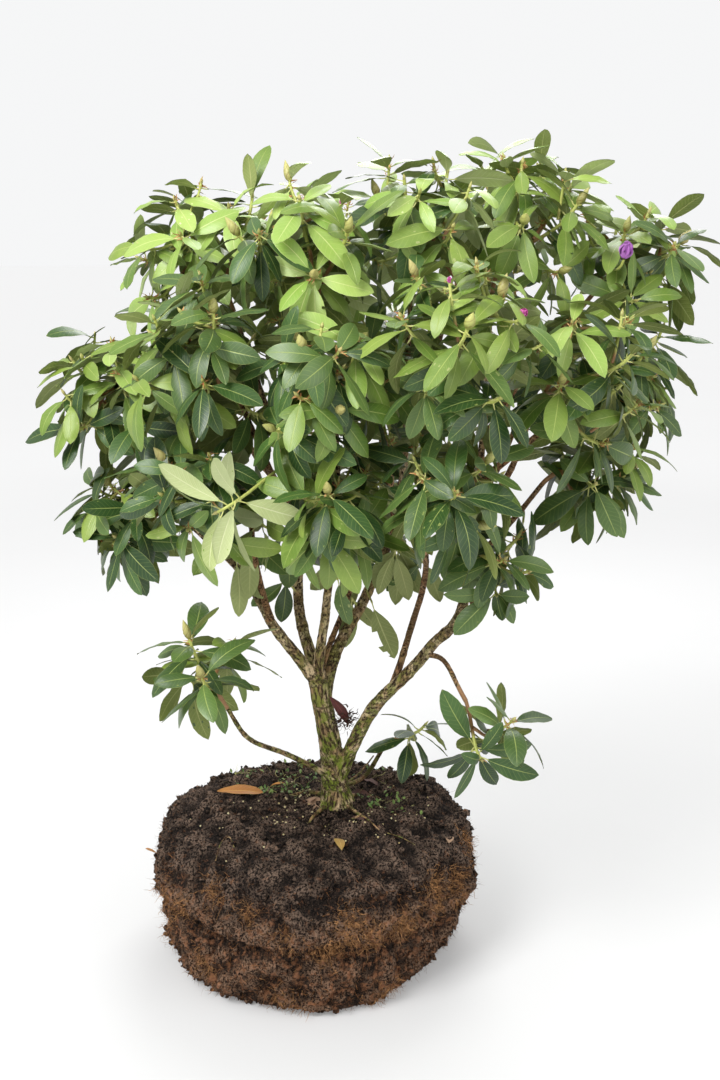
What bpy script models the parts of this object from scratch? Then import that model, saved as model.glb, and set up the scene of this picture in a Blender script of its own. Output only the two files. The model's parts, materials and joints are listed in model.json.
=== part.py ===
"""A rhododendron lifted with its root ball: a multi-stemmed evergreen shrub about 1.2 m tall.

The peat ball stands on its flat underside. A short trunk leaves it and forks at once, and each
bough tapers to one mass of foliage. A mass is one solid: twigs that fork by a seeded rule, with a
whorl of leaves at every shoot tip.

Metres, +Z up. The origin is the middle of the ball's underside, and -Y is the side that faces
the viewer.
"""

import math
import random
from typing import NamedTuple

import bmesh
import bpy
from mathutils import Matrix, Vector
from mathutils.bvhtree import BVHTree

# Gaps between pieces that touch on the real plant
GAP = 0.0003
CUT_GAP = 0.0004
LIMB_GAP = 0.001

# Root ball
BALL_HEIGHT = 0.238
BALL_RINGS = (
    # share of the height, radius
    (0.0, 0.206),
    (0.06, 0.222),
    (0.28, 0.233),
    (0.55, 0.242),
    (0.74, 0.242),
    (0.88, 0.225),
    (0.96, 0.180),
    (1.0, 0.115),
)
SEAT_RADIUS = 0.045
BALL_SEGMENTS = 26
BALL_LUMP = 0.005
BALL_TILT = 0.004
UNDERCUT = 0.022
UNDERCUT_TOP = 0.45
UNDERCUT_ANGLE = -0.35
UNDERCUT_WIDTH = 0.45

# Trunk
TRUNK_FOOT = Vector((0.035, -0.030, BALL_HEIGHT + GAP))
TRUNK_FORK = Vector((0.005, -0.030, 0.448))
TRUNK_LEAN = Vector((0.026, -0.032, 0.330))
TRUNK_FOOT_RADIUS = 0.0185
TRUNK_FORK_RADIUS = 0.0140
ROOT_FLARE = 0.55
FLARE_HEIGHT = 0.03
TRUNK_SIDES = 10
TRUNK_RINGS = 8
TRUNK_RING_CROWDING = 1.5

# Boughs
BOUGH_SIDES = 5
BOUGH_STEP = 0.065
BOUGH_TIP_RADIUS = 0.0034
BOUGH_TAPER = 0.8
BOUGH_DEPTH = 0.5
CURVE_STEPS = 12
HEART = Vector((0.08, -0.02, 0.58))
UP = Vector((0, 0, 1))

# Leaves: real ones are 70 to 110 mm long and nearly 40% as wide
LEAF_LENGTH = 0.093
LEAF_WIDTH = 0.036
LEAF_BELLY = 0.37
LEAF_SHOULDER = 0.74
LEAF_SHOULDER_SHARE = 0.84
LEAF_ARCH = 0.030
LEAF_DROOP = 0.035
LEAF_SIZES = (0.82, 1.10)

# Whorls: leaves wind up the shoot's end, the old ones spread low and the young ones rise
LEAVES_ON_SHOOT = 6
GOLDEN_ANGLE = math.pi * (3 - math.sqrt(5))
WHORL_STEP = 0.0030
WHORL_TOP = 0.002
OLD_LEAF_RISE = -0.35
YOUNG_LEAF_RISE = 0.35
LEADER_LEAF_RISE = 3.5
RISE_SPREAD = 0.15
TURN_SPREAD = 0.12
LEAF_WEIGHT = 0.20
OTHER_RISES = (0.0, -0.35, 0.35, -0.7, 0.7)
OTHER_SWINGS = (0.0, 0.3, -0.3)
BLADE_START = 0.07

# Twigs
TWIG_SIDES = 3
HUB_RADIUS = 0.0034
FORK_RADIUS = 0.0029
SHOOT_RADIUS = 0.0023
HUB_DEPTH = 0.22
FORK_SHARE = 0.45
SHOOT_PULL, OUTWARD_PULL, LIGHT_PULL = 0.7, 0.6, 0.7
BUD_LENGTH = 0.024
BUD_RADIUS = 0.0062
BUD_SWELL = 0.35
BUD_SHARE = 0.30

# Spots for shoot tips
SPOTS = 60
SPOT_INSET = 0.55
SPOT_DEPTHS = (0.62, 1.0)
ROOM_WANTED = 0.15
EDGE_WORTH = 0.04
FIRST_SEED = 1000


class Limb(NamedTuple):
    """A bough: where it leaves its parent, the bends that it passes, its base radius and its mass."""

    name: str
    parent: str
    share: float
    bends: tuple
    radius: float


class Mass(NamedTuple):
    """A mass of foliage: its bough, middle, reach, shoots and facing, and a shoot that stands out."""

    name: str
    bough: str
    middle: tuple
    reach: float
    shoots: int
    facing: tuple = None
    leader: tuple = None


LIMBS = (
    Limb("stem_right", "trunk", 0.16, ((0.088, -0.06, 0.4), (0.17, -0.08, 0.5), (0.225, -0.09, 0.61)), 0.012),
    Limb("bough_left", "trunk", 0.93, ((-0.050, -0.07, 0.525), (-0.100, -0.09, 0.618)), 0.0105),
    Limb("bough_left_upright", "trunk", 0.98, ((-0.021, 0.0, 0.543), (-0.025, 0.01, 0.70)), 0.0098),
    Limb("bough_front", "trunk", 0.97, ((0.022, -0.08, 0.565), (0.038, -0.12, 0.68)), 0.0085),
    Limb("bough_centre", "trunk", 0.76, ((0.034, 0, 0.47), (0.079, 0.03, 0.55), (0.128, 0.03, 0.7)), 0.0105),
    Limb("bough_back", "trunk", 0.95, ((0.050, 0.04, 0.540),), 0.0052),
    Limb("bough_low_left", "trunk", 0.20, ((-0.031, -0.10, 0.345), (-0.085, -0.14, 0.384)), 0.0050),
    Limb("bough_low_back", "trunk", 0.12, ((0.075, 0.02, 0.262),), 0.0036),
    Limb("bough_low_right", "stem_right", 0.33, ((0.190, -0.09, 0.487),), 0.0036),
    Limb("bough_left_outer", "bough_left", 0.55, ((-0.135, -0.05, 0.72),), 0.0060),
    Limb("bough_left_front", "bough_left", 0.40, ((-0.075, -0.125, 0.64),), 0.0054),
    Limb("bough_left_middle", "bough_left_upright", 0.40, ((-0.055, -0.08, 0.76),), 0.0058),
    Limb("bough_back_left", "bough_left_upright", 0.46, ((-0.080, 0.06, 0.75),), 0.0060),
    Limb("bough_top_back_left", "bough_left_upright", 0.58, ((-0.020, 0.07, 0.86),), 0.0056),
    Limb("bough_centre_low", "bough_front", 0.45, ((0.035, -0.15, 0.655),), 0.0050),
    Limb("bough_top_left", "bough_front", 0.62, ((0.015, -0.11, 0.86),), 0.0056),
    Limb("bough_back_middle", "bough_centre", 0.50, ((0.105, 0.10, 0.72),), 0.0060),
    Limb("bough_heart", "bough_centre", 0.44, ((0.115, -0.01, 0.74),), 0.0052),
    Limb("bough_top_back", "bough_centre", 0.66, ((0.165, 0.08, 0.86),), 0.0058),
    Limb("bough_centre_right_low", "stem_right", 0.24, ((0.147, -0.045, 0.53), (0.163, -0.09, 0.62)), 0.0056),
    Limb("bough_lower_right", "stem_right", 0.43, ((0.228, -0.110, 0.565),), 0.0042),
    Limb("bough_right_low", "stem_right", 0.46, ((0.238, -0.065, 0.628), (0.300, -0.045, 0.695)), 0.0058),
    Limb("bough_centre_right", "stem_right", 0.56, ((0.222, -0.14, 0.78),), 0.0060),
    Limb("bough_right_middle", "stem_right", 0.60, ((0.275, -0.10, 0.76),), 0.0060),
    Limb("bough_right", "stem_right", 0.67, ((0.330, -0.04, 0.81),), 0.0058),
    Limb("bough_back_right", "stem_right", 0.63, ((0.275, 0.03, 0.75),), 0.0060),
    Limb("bough_shoulder", "stem_right", 0.74, ((0.310, -0.02, 0.90),), 0.0056),
)

MASSES = (
    Mass("foliage_left_top", "bough_left_upright", (-0.14, -0.02, 1.045), 0.155, 6, None, (-0.08, 0.0, 1.13)),
    Mass("foliage_top_left", "bough_top_left", (0.005, -0.14, 1.045), 0.155, 5),
    Mass("foliage_top", "bough_centre", (0.150, -0.08, 1.070), 0.160, 5),
    Mass("foliage_top_right", "stem_right", (0.285, -0.03, 1.075), 0.160, 6),
    Mass("foliage_shoulder", "bough_shoulder", (0.425, 0.00, 1.035), 0.150, 5),
    Mass("foliage_top_back_left", "bough_top_back_left", (0.000, 0.15, 1.040), 0.160, 5),
    Mass("foliage_top_back", "bough_top_back", (0.230, 0.16, 1.050), 0.165, 5),
    Mass("foliage_left_tip", "bough_left_outer", (-0.260, -0.06, 0.860), 0.140, 5),
    Mass("foliage_left_middle", "bough_left_middle", (-0.125, -0.17, 0.920), 0.155, 6),
    Mass("foliage_centre", "bough_front", (0.030, -0.24, 0.900), 0.155, 5),
    Mass("foliage_centre_right", "bough_centre_right", (0.190, -0.25, 0.940), 0.160, 6),
    Mass("foliage_right_middle", "bough_right_middle", (0.345, -0.17, 0.900), 0.155, 5),
    Mass("foliage_right", "bough_right", (0.430, -0.01, 0.885), 0.135, 5, None, (0.500, 0.0, 0.950)),
    Mass("foliage_back_left", "bough_back_left", (-0.180, 0.13, 0.880), 0.160, 5),
    Mass("foliage_heart", "bough_heart", (0.105, -0.06, 0.900), 0.140, 4),
    Mass("foliage_back", "bough_back_middle", (0.110, 0.22, 0.870), 0.165, 5),
    Mass("foliage_back_right", "bough_back_right", (0.370, 0.16, 0.860), 0.155, 5),
    Mass("foliage_left_low", "bough_left", (-0.245, -0.04, 0.705), 0.130, 5),
    Mass("foliage_left_front", "bough_left_front", (-0.120, -0.19, 0.765), 0.135, 5),
    Mass("foliage_centre_low", "bough_centre_low", (0.030, -0.22, 0.755), 0.135, 5),
    Mass("foliage_centre_right_low", "bough_centre_right_low", (0.175, -0.24, 0.770), 0.135, 4),
    Mass("foliage_right_low", "bough_right_low", (0.380, -0.07, 0.770), 0.125, 4),
    Mass("foliage_lower_right", "bough_lower_right", (0.250, -0.14, 0.650), 0.110, 3),
    Mass("foliage_back_low", "bough_back", (0.090, 0.13, 0.680), 0.130, 4),
    Mass("foliage_low_left", "bough_low_left", (-0.135, -0.17, 0.490), 0.115, 3, (-0.35, -0.20, 0.90)),
    Mass("foliage_low_right", "bough_low_right", (0.237, -0.13, 0.410), 0.110, 2, (0.35, -0.25, -0.55)),
    Mass("foliage_low_back", "bough_low_back", (0.145, 0.03, 0.322), 0.085, 1, (0.90, 0.05, 0.35)),
)

COLOURS = {
    # piece: base colour, roughness
    "root_ball": ((0.035, 0.022, 0.015), 1.0),
    "bark": ((0.175, 0.120, 0.070), 0.85),
    "leaf": ((0.045, 0.130, 0.055), 0.40),
}


# Materials

def material(name):
    """A Principled BSDF with the piece's colour and roughness."""
    made = bpy.data.materials.new(name)
    made.use_nodes = True
    colour, roughness = COLOURS[name]
    shader = made.node_tree.nodes["Principled BSDF"]
    shader.inputs["Base Color"].default_value = (*colour, 1)
    shader.inputs["Roughness"].default_value = roughness
    shader.inputs["Metallic"].default_value = 0.0
    made.diffuse_color = (*colour, 1)
    return made


# Curves

def along(points, share):
    """The point at this share of the length of a line through the points."""
    lengths = [(b - a).length for a, b in zip(points, points[1:])]
    left = share * sum(lengths)
    for a, b, length in zip(points, points[1:], lengths):
        if left <= length:
            return a.lerp(b, left / length)
        left -= length
    return points[-1].copy()


def smooth_line(knots, step):
    """Evenly spaced points on a Catmull-Rom curve through the knots."""
    ends = [2 * knots[0] - knots[1], *knots, 2 * knots[-1] - knots[-2]]
    fine = []
    for before, a, b, after in zip(ends, ends[1:], ends[2:], ends[3:]):
        for t in (i / CURVE_STEPS for i in range(CURVE_STEPS)):
            squared = 2 * before - 5 * a + 4 * b - after
            cubed = 3 * a - before - 3 * b + after
            fine.append(0.5 * (2 * a + t * (b - before) + t**2 * squared + t**3 * cubed))
    fine.append(knots[-1].copy())
    length = sum((b - a).length for a, b in zip(fine, fine[1:]))
    count = max(3, round(length / step))
    return [along(fine, i / count) for i in range(count + 1)]


def tangents(path):
    """The unit direction of the path at each of its points."""
    last = len(path) - 1
    return [
        (path[min(i + 1, last)] - path[max(i - 1, 0)]).normalized()
        for i in range(len(path))
    ]


# Meshes

def tube(path, radii, sides, first_normal=None, apex=None):
    """A closed tube round the path, as (points, faces). It ends in a flat cap, or in a point at apex."""
    directions = tangents(path)
    if first_normal is not None:
        directions[0] = first_normal
    side = directions[0].orthogonal().normalized()
    points = []
    for centre, direction, radius in zip(path, directions, radii):
        side = (side - side.dot(direction) * direction).normalized()
        across = direction.cross(side)
        for turn in (2 * math.pi * k / sides for k in range(sides)):
            points.append(centre + radius * (math.cos(turn) * side + math.sin(turn) * across))
    faces = ring_faces(len(path), sides)
    if apex is not None:
        cap = faces.pop()
        faces += [(a, b, len(points)) for a, b in zip(cap, cap[1:] + cap[:1])]
        points.append(apex)
    return points, faces


def leaf(root, along_leaf, across, length):
    """A leaf of 8 faces: flat from edge to edge above and keeled below, as (points, faces)."""
    up = along_leaf.cross(across).normalized()
    half = LEAF_WIDTH / 2 * length / LEAF_LENGTH
    belly, shoulder = LEAF_BELLY * length, LEAF_SHOULDER * length
    arch = LEAF_ARCH * length
    points = [
        root,
        root + belly * along_leaf + half * across + arch * up,
        root + shoulder * along_leaf + half * LEAF_SHOULDER_SHARE * across + arch / 2 * up,
        root + length * along_leaf - LEAF_DROOP * length * up,
        root + shoulder * along_leaf - half * LEAF_SHOULDER_SHARE * across + arch / 2 * up,
        root + belly * along_leaf - half * across + arch * up,
    ]
    faces = [
        (0, 5, 1),
        (5, 4, 2),
        (5, 2, 1),
        (4, 3, 2),
        (0, 1, 3),
        (1, 2, 3),
        (3, 4, 5),
        (3, 5, 0),
    ]
    return points, faces


def new_object(name, shape, collection=None):
    """An object from (points, faces) in the plant's own frame."""
    mesh = bpy.data.meshes.new(name)
    points, faces = shape
    mesh.from_pydata([tuple(p) for p in points], [], faces)
    mesh.update()
    made = bpy.data.objects.new(name, mesh)
    (collection or bpy.context.scene.collection).objects.link(made)
    return made


def settle(obj, origin, plant, finish, smooth=False):
    """Gives a finished piece its origin, parent and material, and smooth shading if it is round."""
    obj.data.transform(Matrix.Translation(-origin))
    obj.location = origin
    obj.parent = plant
    obj.data.materials.clear()
    obj.data.materials.append(finish)
    if smooth:
        obj.data.shade_smooth()
        obj.data.set_sharp_from_angle(angle=math.radians(50))


def bake_modifiers(obj):
    """Puts the evaluated mesh in place of the object's own, and takes its modifiers off."""
    graph = bpy.context.evaluated_depsgraph_get()
    mesh = bpy.data.meshes.new_from_object(obj.evaluated_get(graph))
    obj.modifiers.clear()
    obj.data = mesh


def remove_all(objects):
    """Takes these helper objects out of the file."""
    for obj in list(objects):
        bpy.data.objects.remove(obj)


def keep_largest(obj):
    """Keeps the largest connected shell, so loose scraps are dropped and sealed hollows are filled."""
    work = bmesh.new()
    work.from_mesh(obj.data)
    shells, seen = [], set()
    for seed in work.verts:
        if seed in seen:
            continue
        shell, todo = [], [seed]
        seen.add(seed)
        while todo:
            vert = todo.pop()
            shell.append(vert)
            found = {edge.other_vert(vert) for edge in vert.link_edges} - seen
            seen |= found
            todo += found
        shells.append(shell)
    shells.sort(key=len, reverse=True)
    bmesh.ops.delete(work, geom=[v for shell in shells[1:] for v in shell], context="VERTS")
    bmesh.ops.triangulate(work, faces=work.faces)
    work.to_mesh(obj.data)
    work.free()


# Root ball

def ball_radius(angle, height_share, radius):
    """The ball's radius at this angle, with broad lumps, and an undercut low on its right."""
    lumps = math.sin(3 * angle + 0.6) + 0.6 * math.sin(5 * angle + 2.1 + 3 * height_share)
    lumps += 0.5 * math.sin(8 * angle - 4 * height_share)
    right = math.exp(-((math.remainder(angle - UNDERCUT_ANGLE, 2 * math.pi)) / UNDERCUT_WIDTH) ** 2)
    undercut = UNDERCUT * right * max(0.0, 1 - height_share / UNDERCUT_TOP)
    return radius + BALL_LUMP * lumps - undercut


def ball_ring(share, radius):
    """One ring of the ball's side, level at its foot and gently tilted higher up."""
    points = []
    for angle in (2 * math.pi * k / BALL_SEGMENTS for k in range(BALL_SEGMENTS)):
        reach = ball_radius(angle, share, radius)
        rise = BALL_TILT * share * (math.sin(2 * angle + 1.0) - 0.75)
        points.append(Vector((reach * math.cos(angle), reach * math.sin(angle), share * BALL_HEIGHT + rise)))
    return points


def seat_ring():
    """The level ring under the trunk's foot."""
    middle = Vector((TRUNK_FOOT.x, TRUNK_FOOT.y, BALL_HEIGHT))
    turns = (2 * math.pi * k / BALL_SEGMENTS for k in range(BALL_SEGMENTS))
    return [middle + SEAT_RADIUS * Vector((math.cos(turn), math.sin(turn), 0)) for turn in turns]


def ring_faces(rings, count):
    """The faces of a closed stack of rings, with a flat cap at each end."""
    faces = [tuple(reversed(range(count)))]
    for low in range(0, (rings - 1) * count, count):
        for k in range(count):
            after = (k + 1) % count
            faces.append((low + k, low + after, low + count + after, low + count + k))
    faces.append(tuple(range((rings - 1) * count, rings * count)))
    return faces


def make_root_ball(plant):
    """The peat ball: flat below, lumpy round its side, and rounded over to the trunk's seat."""
    rings = [ball_ring(share, radius) for share, radius in BALL_RINGS] + [seat_ring()]
    points = [point for ring in rings for point in ring]
    ball = new_object("root_ball", (points, ring_faces(len(rings), BALL_SEGMENTS)))
    settle(ball, Vector(), plant, material("root_ball"), smooth=True)


# Trunk and boughs

def trunk_line():
    """The trunk's path and radii, with the flare at its foot."""
    curve = smooth_line([TRUNK_FOOT, TRUNK_LEAN, TRUNK_FORK], BOUGH_STEP / 6)
    path, radii = [], []
    for i in range(TRUNK_RINGS + 1):
        share = (i / TRUNK_RINGS) ** TRUNK_RING_CROWDING
        path.append(along(curve, share))
        plain = TRUNK_FOOT_RADIUS + share * (TRUNK_FORK_RADIUS - TRUNK_FOOT_RADIUS)
        flare = ROOT_FLARE * math.exp(-(path[-1].z - TRUNK_FOOT.z) / FLARE_HEIGHT)
        radii.append(plain * (1 + flare))
    return path, radii


def facing_of(mass):
    """The way that a mass faces: out from the crown's heart, or as stated."""
    if mass.facing:
        return Vector(mass.facing).normalized()
    return (Vector(mass.middle) - HEART).normalized()


def bough_line(limb, lines):
    """A bough's path and radii, from inside its parent to where it enters its mass."""
    mass = next(m for m in MASSES if m.bough == limb.name)
    start = along(lines[limb.parent][0], limb.share)
    tip = Vector(mass.middle) - BOUGH_DEPTH * mass.reach * facing_of(mass)
    path = smooth_line([start, *map(Vector, limb.bends), tip], BOUGH_STEP)
    last = len(path) - 1
    radii = [
        limb.radius + (BOUGH_TIP_RADIUS - limb.radius) * (i / last) ** BOUGH_TAPER
        for i in range(last + 1)
    ]
    return path, radii


def limb_shape(name, path, radii, swell=0.0):
    """A limb's tube, fatter by the swell. The trunk's foot is cut level."""
    trunk = name == "trunk"
    sides = TRUNK_SIDES if trunk else BOUGH_SIDES
    return tube(path, [radius + swell for radius in radii], sides, UP if trunk else None)


def make_limbs(plant):
    """The trunk and the boughs, each cut clear of the limbs made before it. Returns their lines."""
    bark = material("bark")
    lines = {"trunk": trunk_line()}
    for limb in LIMBS:
        lines[limb.name] = bough_line(limb, lines)
    clearances = []
    for name, (path, radii) in lines.items():
        shape = limb_shape(name, path, radii)
        made = new_object(name, shape)
        tree = BVHTree.FromPolygons(*shape)
        cutters = [cutter for cutter, cutter_tree in clearances if tree.overlap(cutter_tree)]
        for cutter in cutters:
            modifier = made.modifiers.new("clearance", "BOOLEAN")
            modifier.operation = "DIFFERENCE"
            modifier.object = cutter
        if cutters:
            bake_modifiers(made)
            keep_largest(made)
        settle(made, path[0], plant, bark, smooth=True)
        fat_shape = limb_shape(name, path, radii, CUT_GAP)
        clearances.append((new_object("around_" + name, fat_shape), BVHTree.FromPolygons(*fat_shape)))
    remove_all(cutter for cutter, _ in clearances)
    return lines


# Foliage

class Space:
    """A mass's own space: nearer to its middle, by reach, than to any other, and within its reach."""

    def __init__(self, mass):
        self.middle = Vector(mass.middle)
        self.reach = mass.reach
        self.walls = []
        for other in MASSES:
            if other.name == mass.name:
                continue
            across = Vector(other.middle) - self.middle
            distance = across.length
            wall = (distance**2 + mass.reach**2 - other.reach**2) / (2 * distance)
            self.walls.append((across / distance, wall))

    def holds(self, points, margin=GAP, leader=False):
        """True if every point is clear of the walls and, but for the leader's, within the reach."""
        for point in points:
            offset = point - self.middle
            if offset.length > self.reach and not leader:
                return False
            if any(offset.dot(way) > wall - margin for way, wall in self.walls):
                return False
        return True


class Shoot(NamedTuple):
    """A shoot: its two ends, the way that it faces, and whether it is its mass's leader."""

    start: Vector
    tip: Vector
    facing: Vector
    leader: bool


def touches(shape, trees):
    """True if the shape's surface crosses any of the trees."""
    tree = BVHTree.FromPolygons(*shape)
    return any(tree.overlap(other) for other in trees)


def random_way(rng):
    """A direction from the whole sphere."""
    level = rng.uniform(-1, 1)
    turn = rng.uniform(0, 2 * math.pi)
    ring = math.sqrt(1 - level * level)
    return Vector((ring * math.cos(turn), ring * math.sin(turn), level))


def pick_tips(mass, space, hub, limb_trees, taken, rng):
    """The tips of a mass's shoots. Each takes the roomiest of its seeded spots, and the outer of equals."""
    facing = facing_of(mass)
    tips = [Vector(mass.leader)] if mass.leader else []
    taken += tips
    while len(tips) < mass.shoots:
        best, best_score = None, -1
        for _ in range(SPOTS):
            distance = (mass.reach - SPOT_INSET * LEAF_LENGTH) * rng.uniform(*SPOT_DEPTHS)
            spot = space.middle + distance * random_way(rng)
            if not space.holds([spot], BUD_LENGTH + GAP):
                continue
            if touches(tube([hub, spot], [2 * FORK_RADIUS] * 2, TWIG_SIDES), limb_trees):
                continue
            room = min((spot - other).length for other in [*taken, hub])
            edge = (spot - space.middle).dot(facing) / mass.reach
            score = min(room, ROOM_WANTED) + EDGE_WORTH * edge
            if score > best_score:
                best, best_score = spot, score
        if best is None:
            print(f"{mass.name}: no spot for a shoot")
            break
        tips.append(best)
        taken.append(best)
    return tips


def grow(mass, space, bough_tip, bough_way, limb_trees, taken, rng):
    """A mass's hub and shoots: they leave the hub in twos, the second forking off the first."""
    facing = facing_of(mass)
    side = facing.orthogonal().normalized()
    across = facing.cross(side)
    hub = bough_tip + HUB_DEPTH * mass.reach * (bough_way + facing).normalized()
    tips = pick_tips(mass, space, hub, limb_trees, taken, rng)
    leader = tips[0] if mass.leader else None
    tips.sort(key=lambda tip: math.atan2((tip - hub).dot(across), (tip - hub).dot(side)))
    shoots = []
    for pair in (tips[i : i + 2] for i in range(0, len(tips), 2)):
        start = hub
        for tip in pair:
            way, outward = (tip - start).normalized(), (tip - space.middle).normalized()
            face = (SHOOT_PULL * way + OUTWARD_PULL * outward + LIGHT_PULL * UP).normalized()
            shoots.append(Shoot(start, tip, UP if tip is leader else face, tip is leader))
            start = hub.lerp(tip, FORK_SHARE)
    return hub, shoots


def shoot_shape(shoot, bud):
    """A shoot's twig, with a fat bud at its end if it has one."""
    if not bud:
        return tube([shoot.start, shoot.tip], (FORK_RADIUS, SHOOT_RADIUS), TWIG_SIDES)
    way = (shoot.tip - shoot.start).normalized()
    path = [shoot.start, shoot.tip, shoot.tip + BUD_SWELL * BUD_LENGTH * way]
    return tube(path, (FORK_RADIUS, SHOOT_RADIUS, BUD_RADIUS), TWIG_SIDES, None, shoot.tip + BUD_LENGTH * way)


def leaf_choices(shoot, rng):
    """For each leaf of a shoot, oldest first: its root, its length and the ways to try in turn."""
    side = shoot.facing.orthogonal().normalized()
    across = shoot.facing.cross(side)
    stalk = (shoot.tip - shoot.start).normalized()
    phase = rng.uniform(0, 2 * math.pi)
    youngest = LEAVES_ON_SHOOT - 1
    for k in range(LEAVES_ON_SHOOT):
        turn = phase + k * GOLDEN_ANGLE + rng.uniform(-TURN_SPREAD, TURN_SPREAD)
        length = LEAF_LENGTH * rng.uniform(*LEAF_SIZES)
        rise = OLD_LEAF_RISE + (YOUNG_LEAF_RISE - OLD_LEAF_RISE) * k / youngest
        rise += rng.uniform(-RISE_SPREAD, RISE_SPREAD)
        if shoot.leader and k >= youngest - 1:
            rise = LEADER_LEAF_RISE
        root = shoot.tip - stalk * (WHORL_TOP + WHORL_STEP * (youngest - k))
        ways = []
        for other_rise in OTHER_RISES:
            for swing in OTHER_SWINGS:
                flat = math.cos(turn + swing) * side + math.sin(turn + swing) * across
                way = (flat + (rise + other_rise) * shoot.facing - LEAF_WEIGHT * UP).normalized()
                ways.append((way, shoot.facing.cross(way).normalized()))
        yield root, length, ways


def place_leaf(root, length, ways, shoot, space, limb_trees, blades):
    """The first leaf of these ways that keeps to its space and clear of limbs, twigs and other blades."""
    for way, across in ways:
        points, faces = leaf(root, way, across, length)
        if not space.holds(points, GAP, shoot.leader) or touches((points, faces), limb_trees):
            continue
        blade = ([root.lerp(points[3], BLADE_START), *points[1:]], faces)
        if touches(blade, blades):
            continue
        blades.append(BVHTree.FromPolygons(*blade))
        return points, faces
    return None


def mass_shapes(mass, space, path, limb_trees, taken, rng):
    """The stem, shoots and leaves of a mass, each as (points, faces), the stem first."""
    bough_way = (path[-1] - path[-2]).normalized()
    hub, shoots = grow(mass, space, path[-1], bough_way, limb_trees, taken, rng)
    foot = path[-1] + GAP * bough_way
    twigs = [tube([foot, hub], (BOUGH_TIP_RADIUS, HUB_RADIUS), TWIG_SIDES, bough_way)]
    leafy = []
    for shoot in shoots:
        if touches(shoot_shape(shoot, False), limb_trees):
            continue
        budded = shoot_shape(shoot, True)
        bud = rng.random() < BUD_SHARE and space.holds(budded[0], GAP, shoot.leader)
        twigs.append(budded if bud else shoot_shape(shoot, False))
        leafy.append(shoot)
    blades = [BVHTree.FromPolygons(*twig) for twig in twigs]
    leaves = [
        place_leaf(root, length, ways, shoot, space, limb_trees, blades)
        for shoot in leafy
        for root, length, ways in leaf_choices(shoot, rng)
    ]
    return twigs, [placed for placed in leaves if placed]


def fuse(name, shapes):
    """One object from the union of the shapes."""
    joined = bpy.data.collections.new(name + "_pieces")
    bpy.context.scene.collection.children.link(joined)
    pieces = [new_object(f"piece_{i}", shape, joined) for i, shape in enumerate(shapes[1:])]
    made = new_object(name, shapes[0])
    modifier = made.modifiers.new("fuse", "BOOLEAN")
    modifier.operation = "UNION"
    modifier.operand_type = "COLLECTION"
    modifier.collection = joined
    bake_modifiers(made)
    keep_largest(made)
    remove_all(pieces)
    bpy.data.collections.remove(joined)
    return made


def make_masses(plant, lines):
    """The masses of foliage, each one solid in its own space."""
    green = material("leaf")
    limb_trees = [
        BVHTree.FromPolygons(*limb_shape(name, path, radii, LIMB_GAP))
        for name, (path, radii) in lines.items()
    ]
    taken = []
    for number, mass in enumerate(MASSES):
        path = lines[mass.bough][0]
        rng = random.Random(FIRST_SEED + number)
        twigs, leaves = mass_shapes(mass, Space(mass), path, limb_trees, taken, rng)
        made = fuse(mass.name, twigs + leaves)
        settle(made, path[-1], plant, green)
        print(f"{mass.name}: {len(leaves)} leaves, {len(made.data.polygons)} triangles")


def main():
    for obj in list(bpy.data.objects):
        bpy.data.objects.remove(obj)
    plant = bpy.data.objects.new("rhododendron", None)
    bpy.context.scene.collection.objects.link(plant)
    make_root_ball(plant)
    make_masses(plant, make_limbs(plant))


main()
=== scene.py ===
# %% [markdown]
# # A rhododendron lifted with its root ball
#
# This lesson dresses a garden shrub in Blender. The plant is a rhododendron, just lifted from its
# bed: a peat ball full of fine roots, a short trunk that forks at once, and a broad crown of
# leathery leaves in whorls. The solid model gives the size and the growth rule. Here the same rule
# runs again, and goes on to finer twigs, real leaves, buds, bark and peat.

# %% The solid model
import bpy
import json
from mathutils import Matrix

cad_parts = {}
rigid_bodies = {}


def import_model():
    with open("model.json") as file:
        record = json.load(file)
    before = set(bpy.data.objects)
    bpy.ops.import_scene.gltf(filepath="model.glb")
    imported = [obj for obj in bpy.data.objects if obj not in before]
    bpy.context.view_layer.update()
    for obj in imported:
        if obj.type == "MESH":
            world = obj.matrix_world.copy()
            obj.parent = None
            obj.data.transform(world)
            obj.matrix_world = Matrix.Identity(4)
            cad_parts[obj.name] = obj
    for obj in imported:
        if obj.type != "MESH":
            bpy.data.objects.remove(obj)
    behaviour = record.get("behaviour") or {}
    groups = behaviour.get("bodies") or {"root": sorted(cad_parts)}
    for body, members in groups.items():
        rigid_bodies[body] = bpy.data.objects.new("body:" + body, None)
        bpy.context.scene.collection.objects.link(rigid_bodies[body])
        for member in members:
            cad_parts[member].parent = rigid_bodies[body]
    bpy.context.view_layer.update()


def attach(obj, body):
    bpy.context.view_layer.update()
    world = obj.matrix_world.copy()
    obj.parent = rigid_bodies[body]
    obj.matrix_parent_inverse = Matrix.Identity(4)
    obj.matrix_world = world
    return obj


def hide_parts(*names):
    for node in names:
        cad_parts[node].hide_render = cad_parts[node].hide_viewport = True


for leftover in list(bpy.data.objects):
    bpy.data.objects.remove(leftover)
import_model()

# %% Tools for the lesson
import itertools
import json
import math
import random
from typing import NamedTuple

import numpy as np
from mathutils import Vector, noise
from mathutils.bvhtree import BVHTree
from mathutils.kdtree import KDTree

MM = 0.001
print("Blender", bpy.app.version_string)

# %% [markdown]
# ## The camera
#
# The picture was taken from a little above the crown, tilted down by 12.5 degrees, from about two
# metres away. A 45 mm lens on an upright frame gives the same perspective. The camera comes first,
# because every later choice of detail depends on how large it shows.

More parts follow.
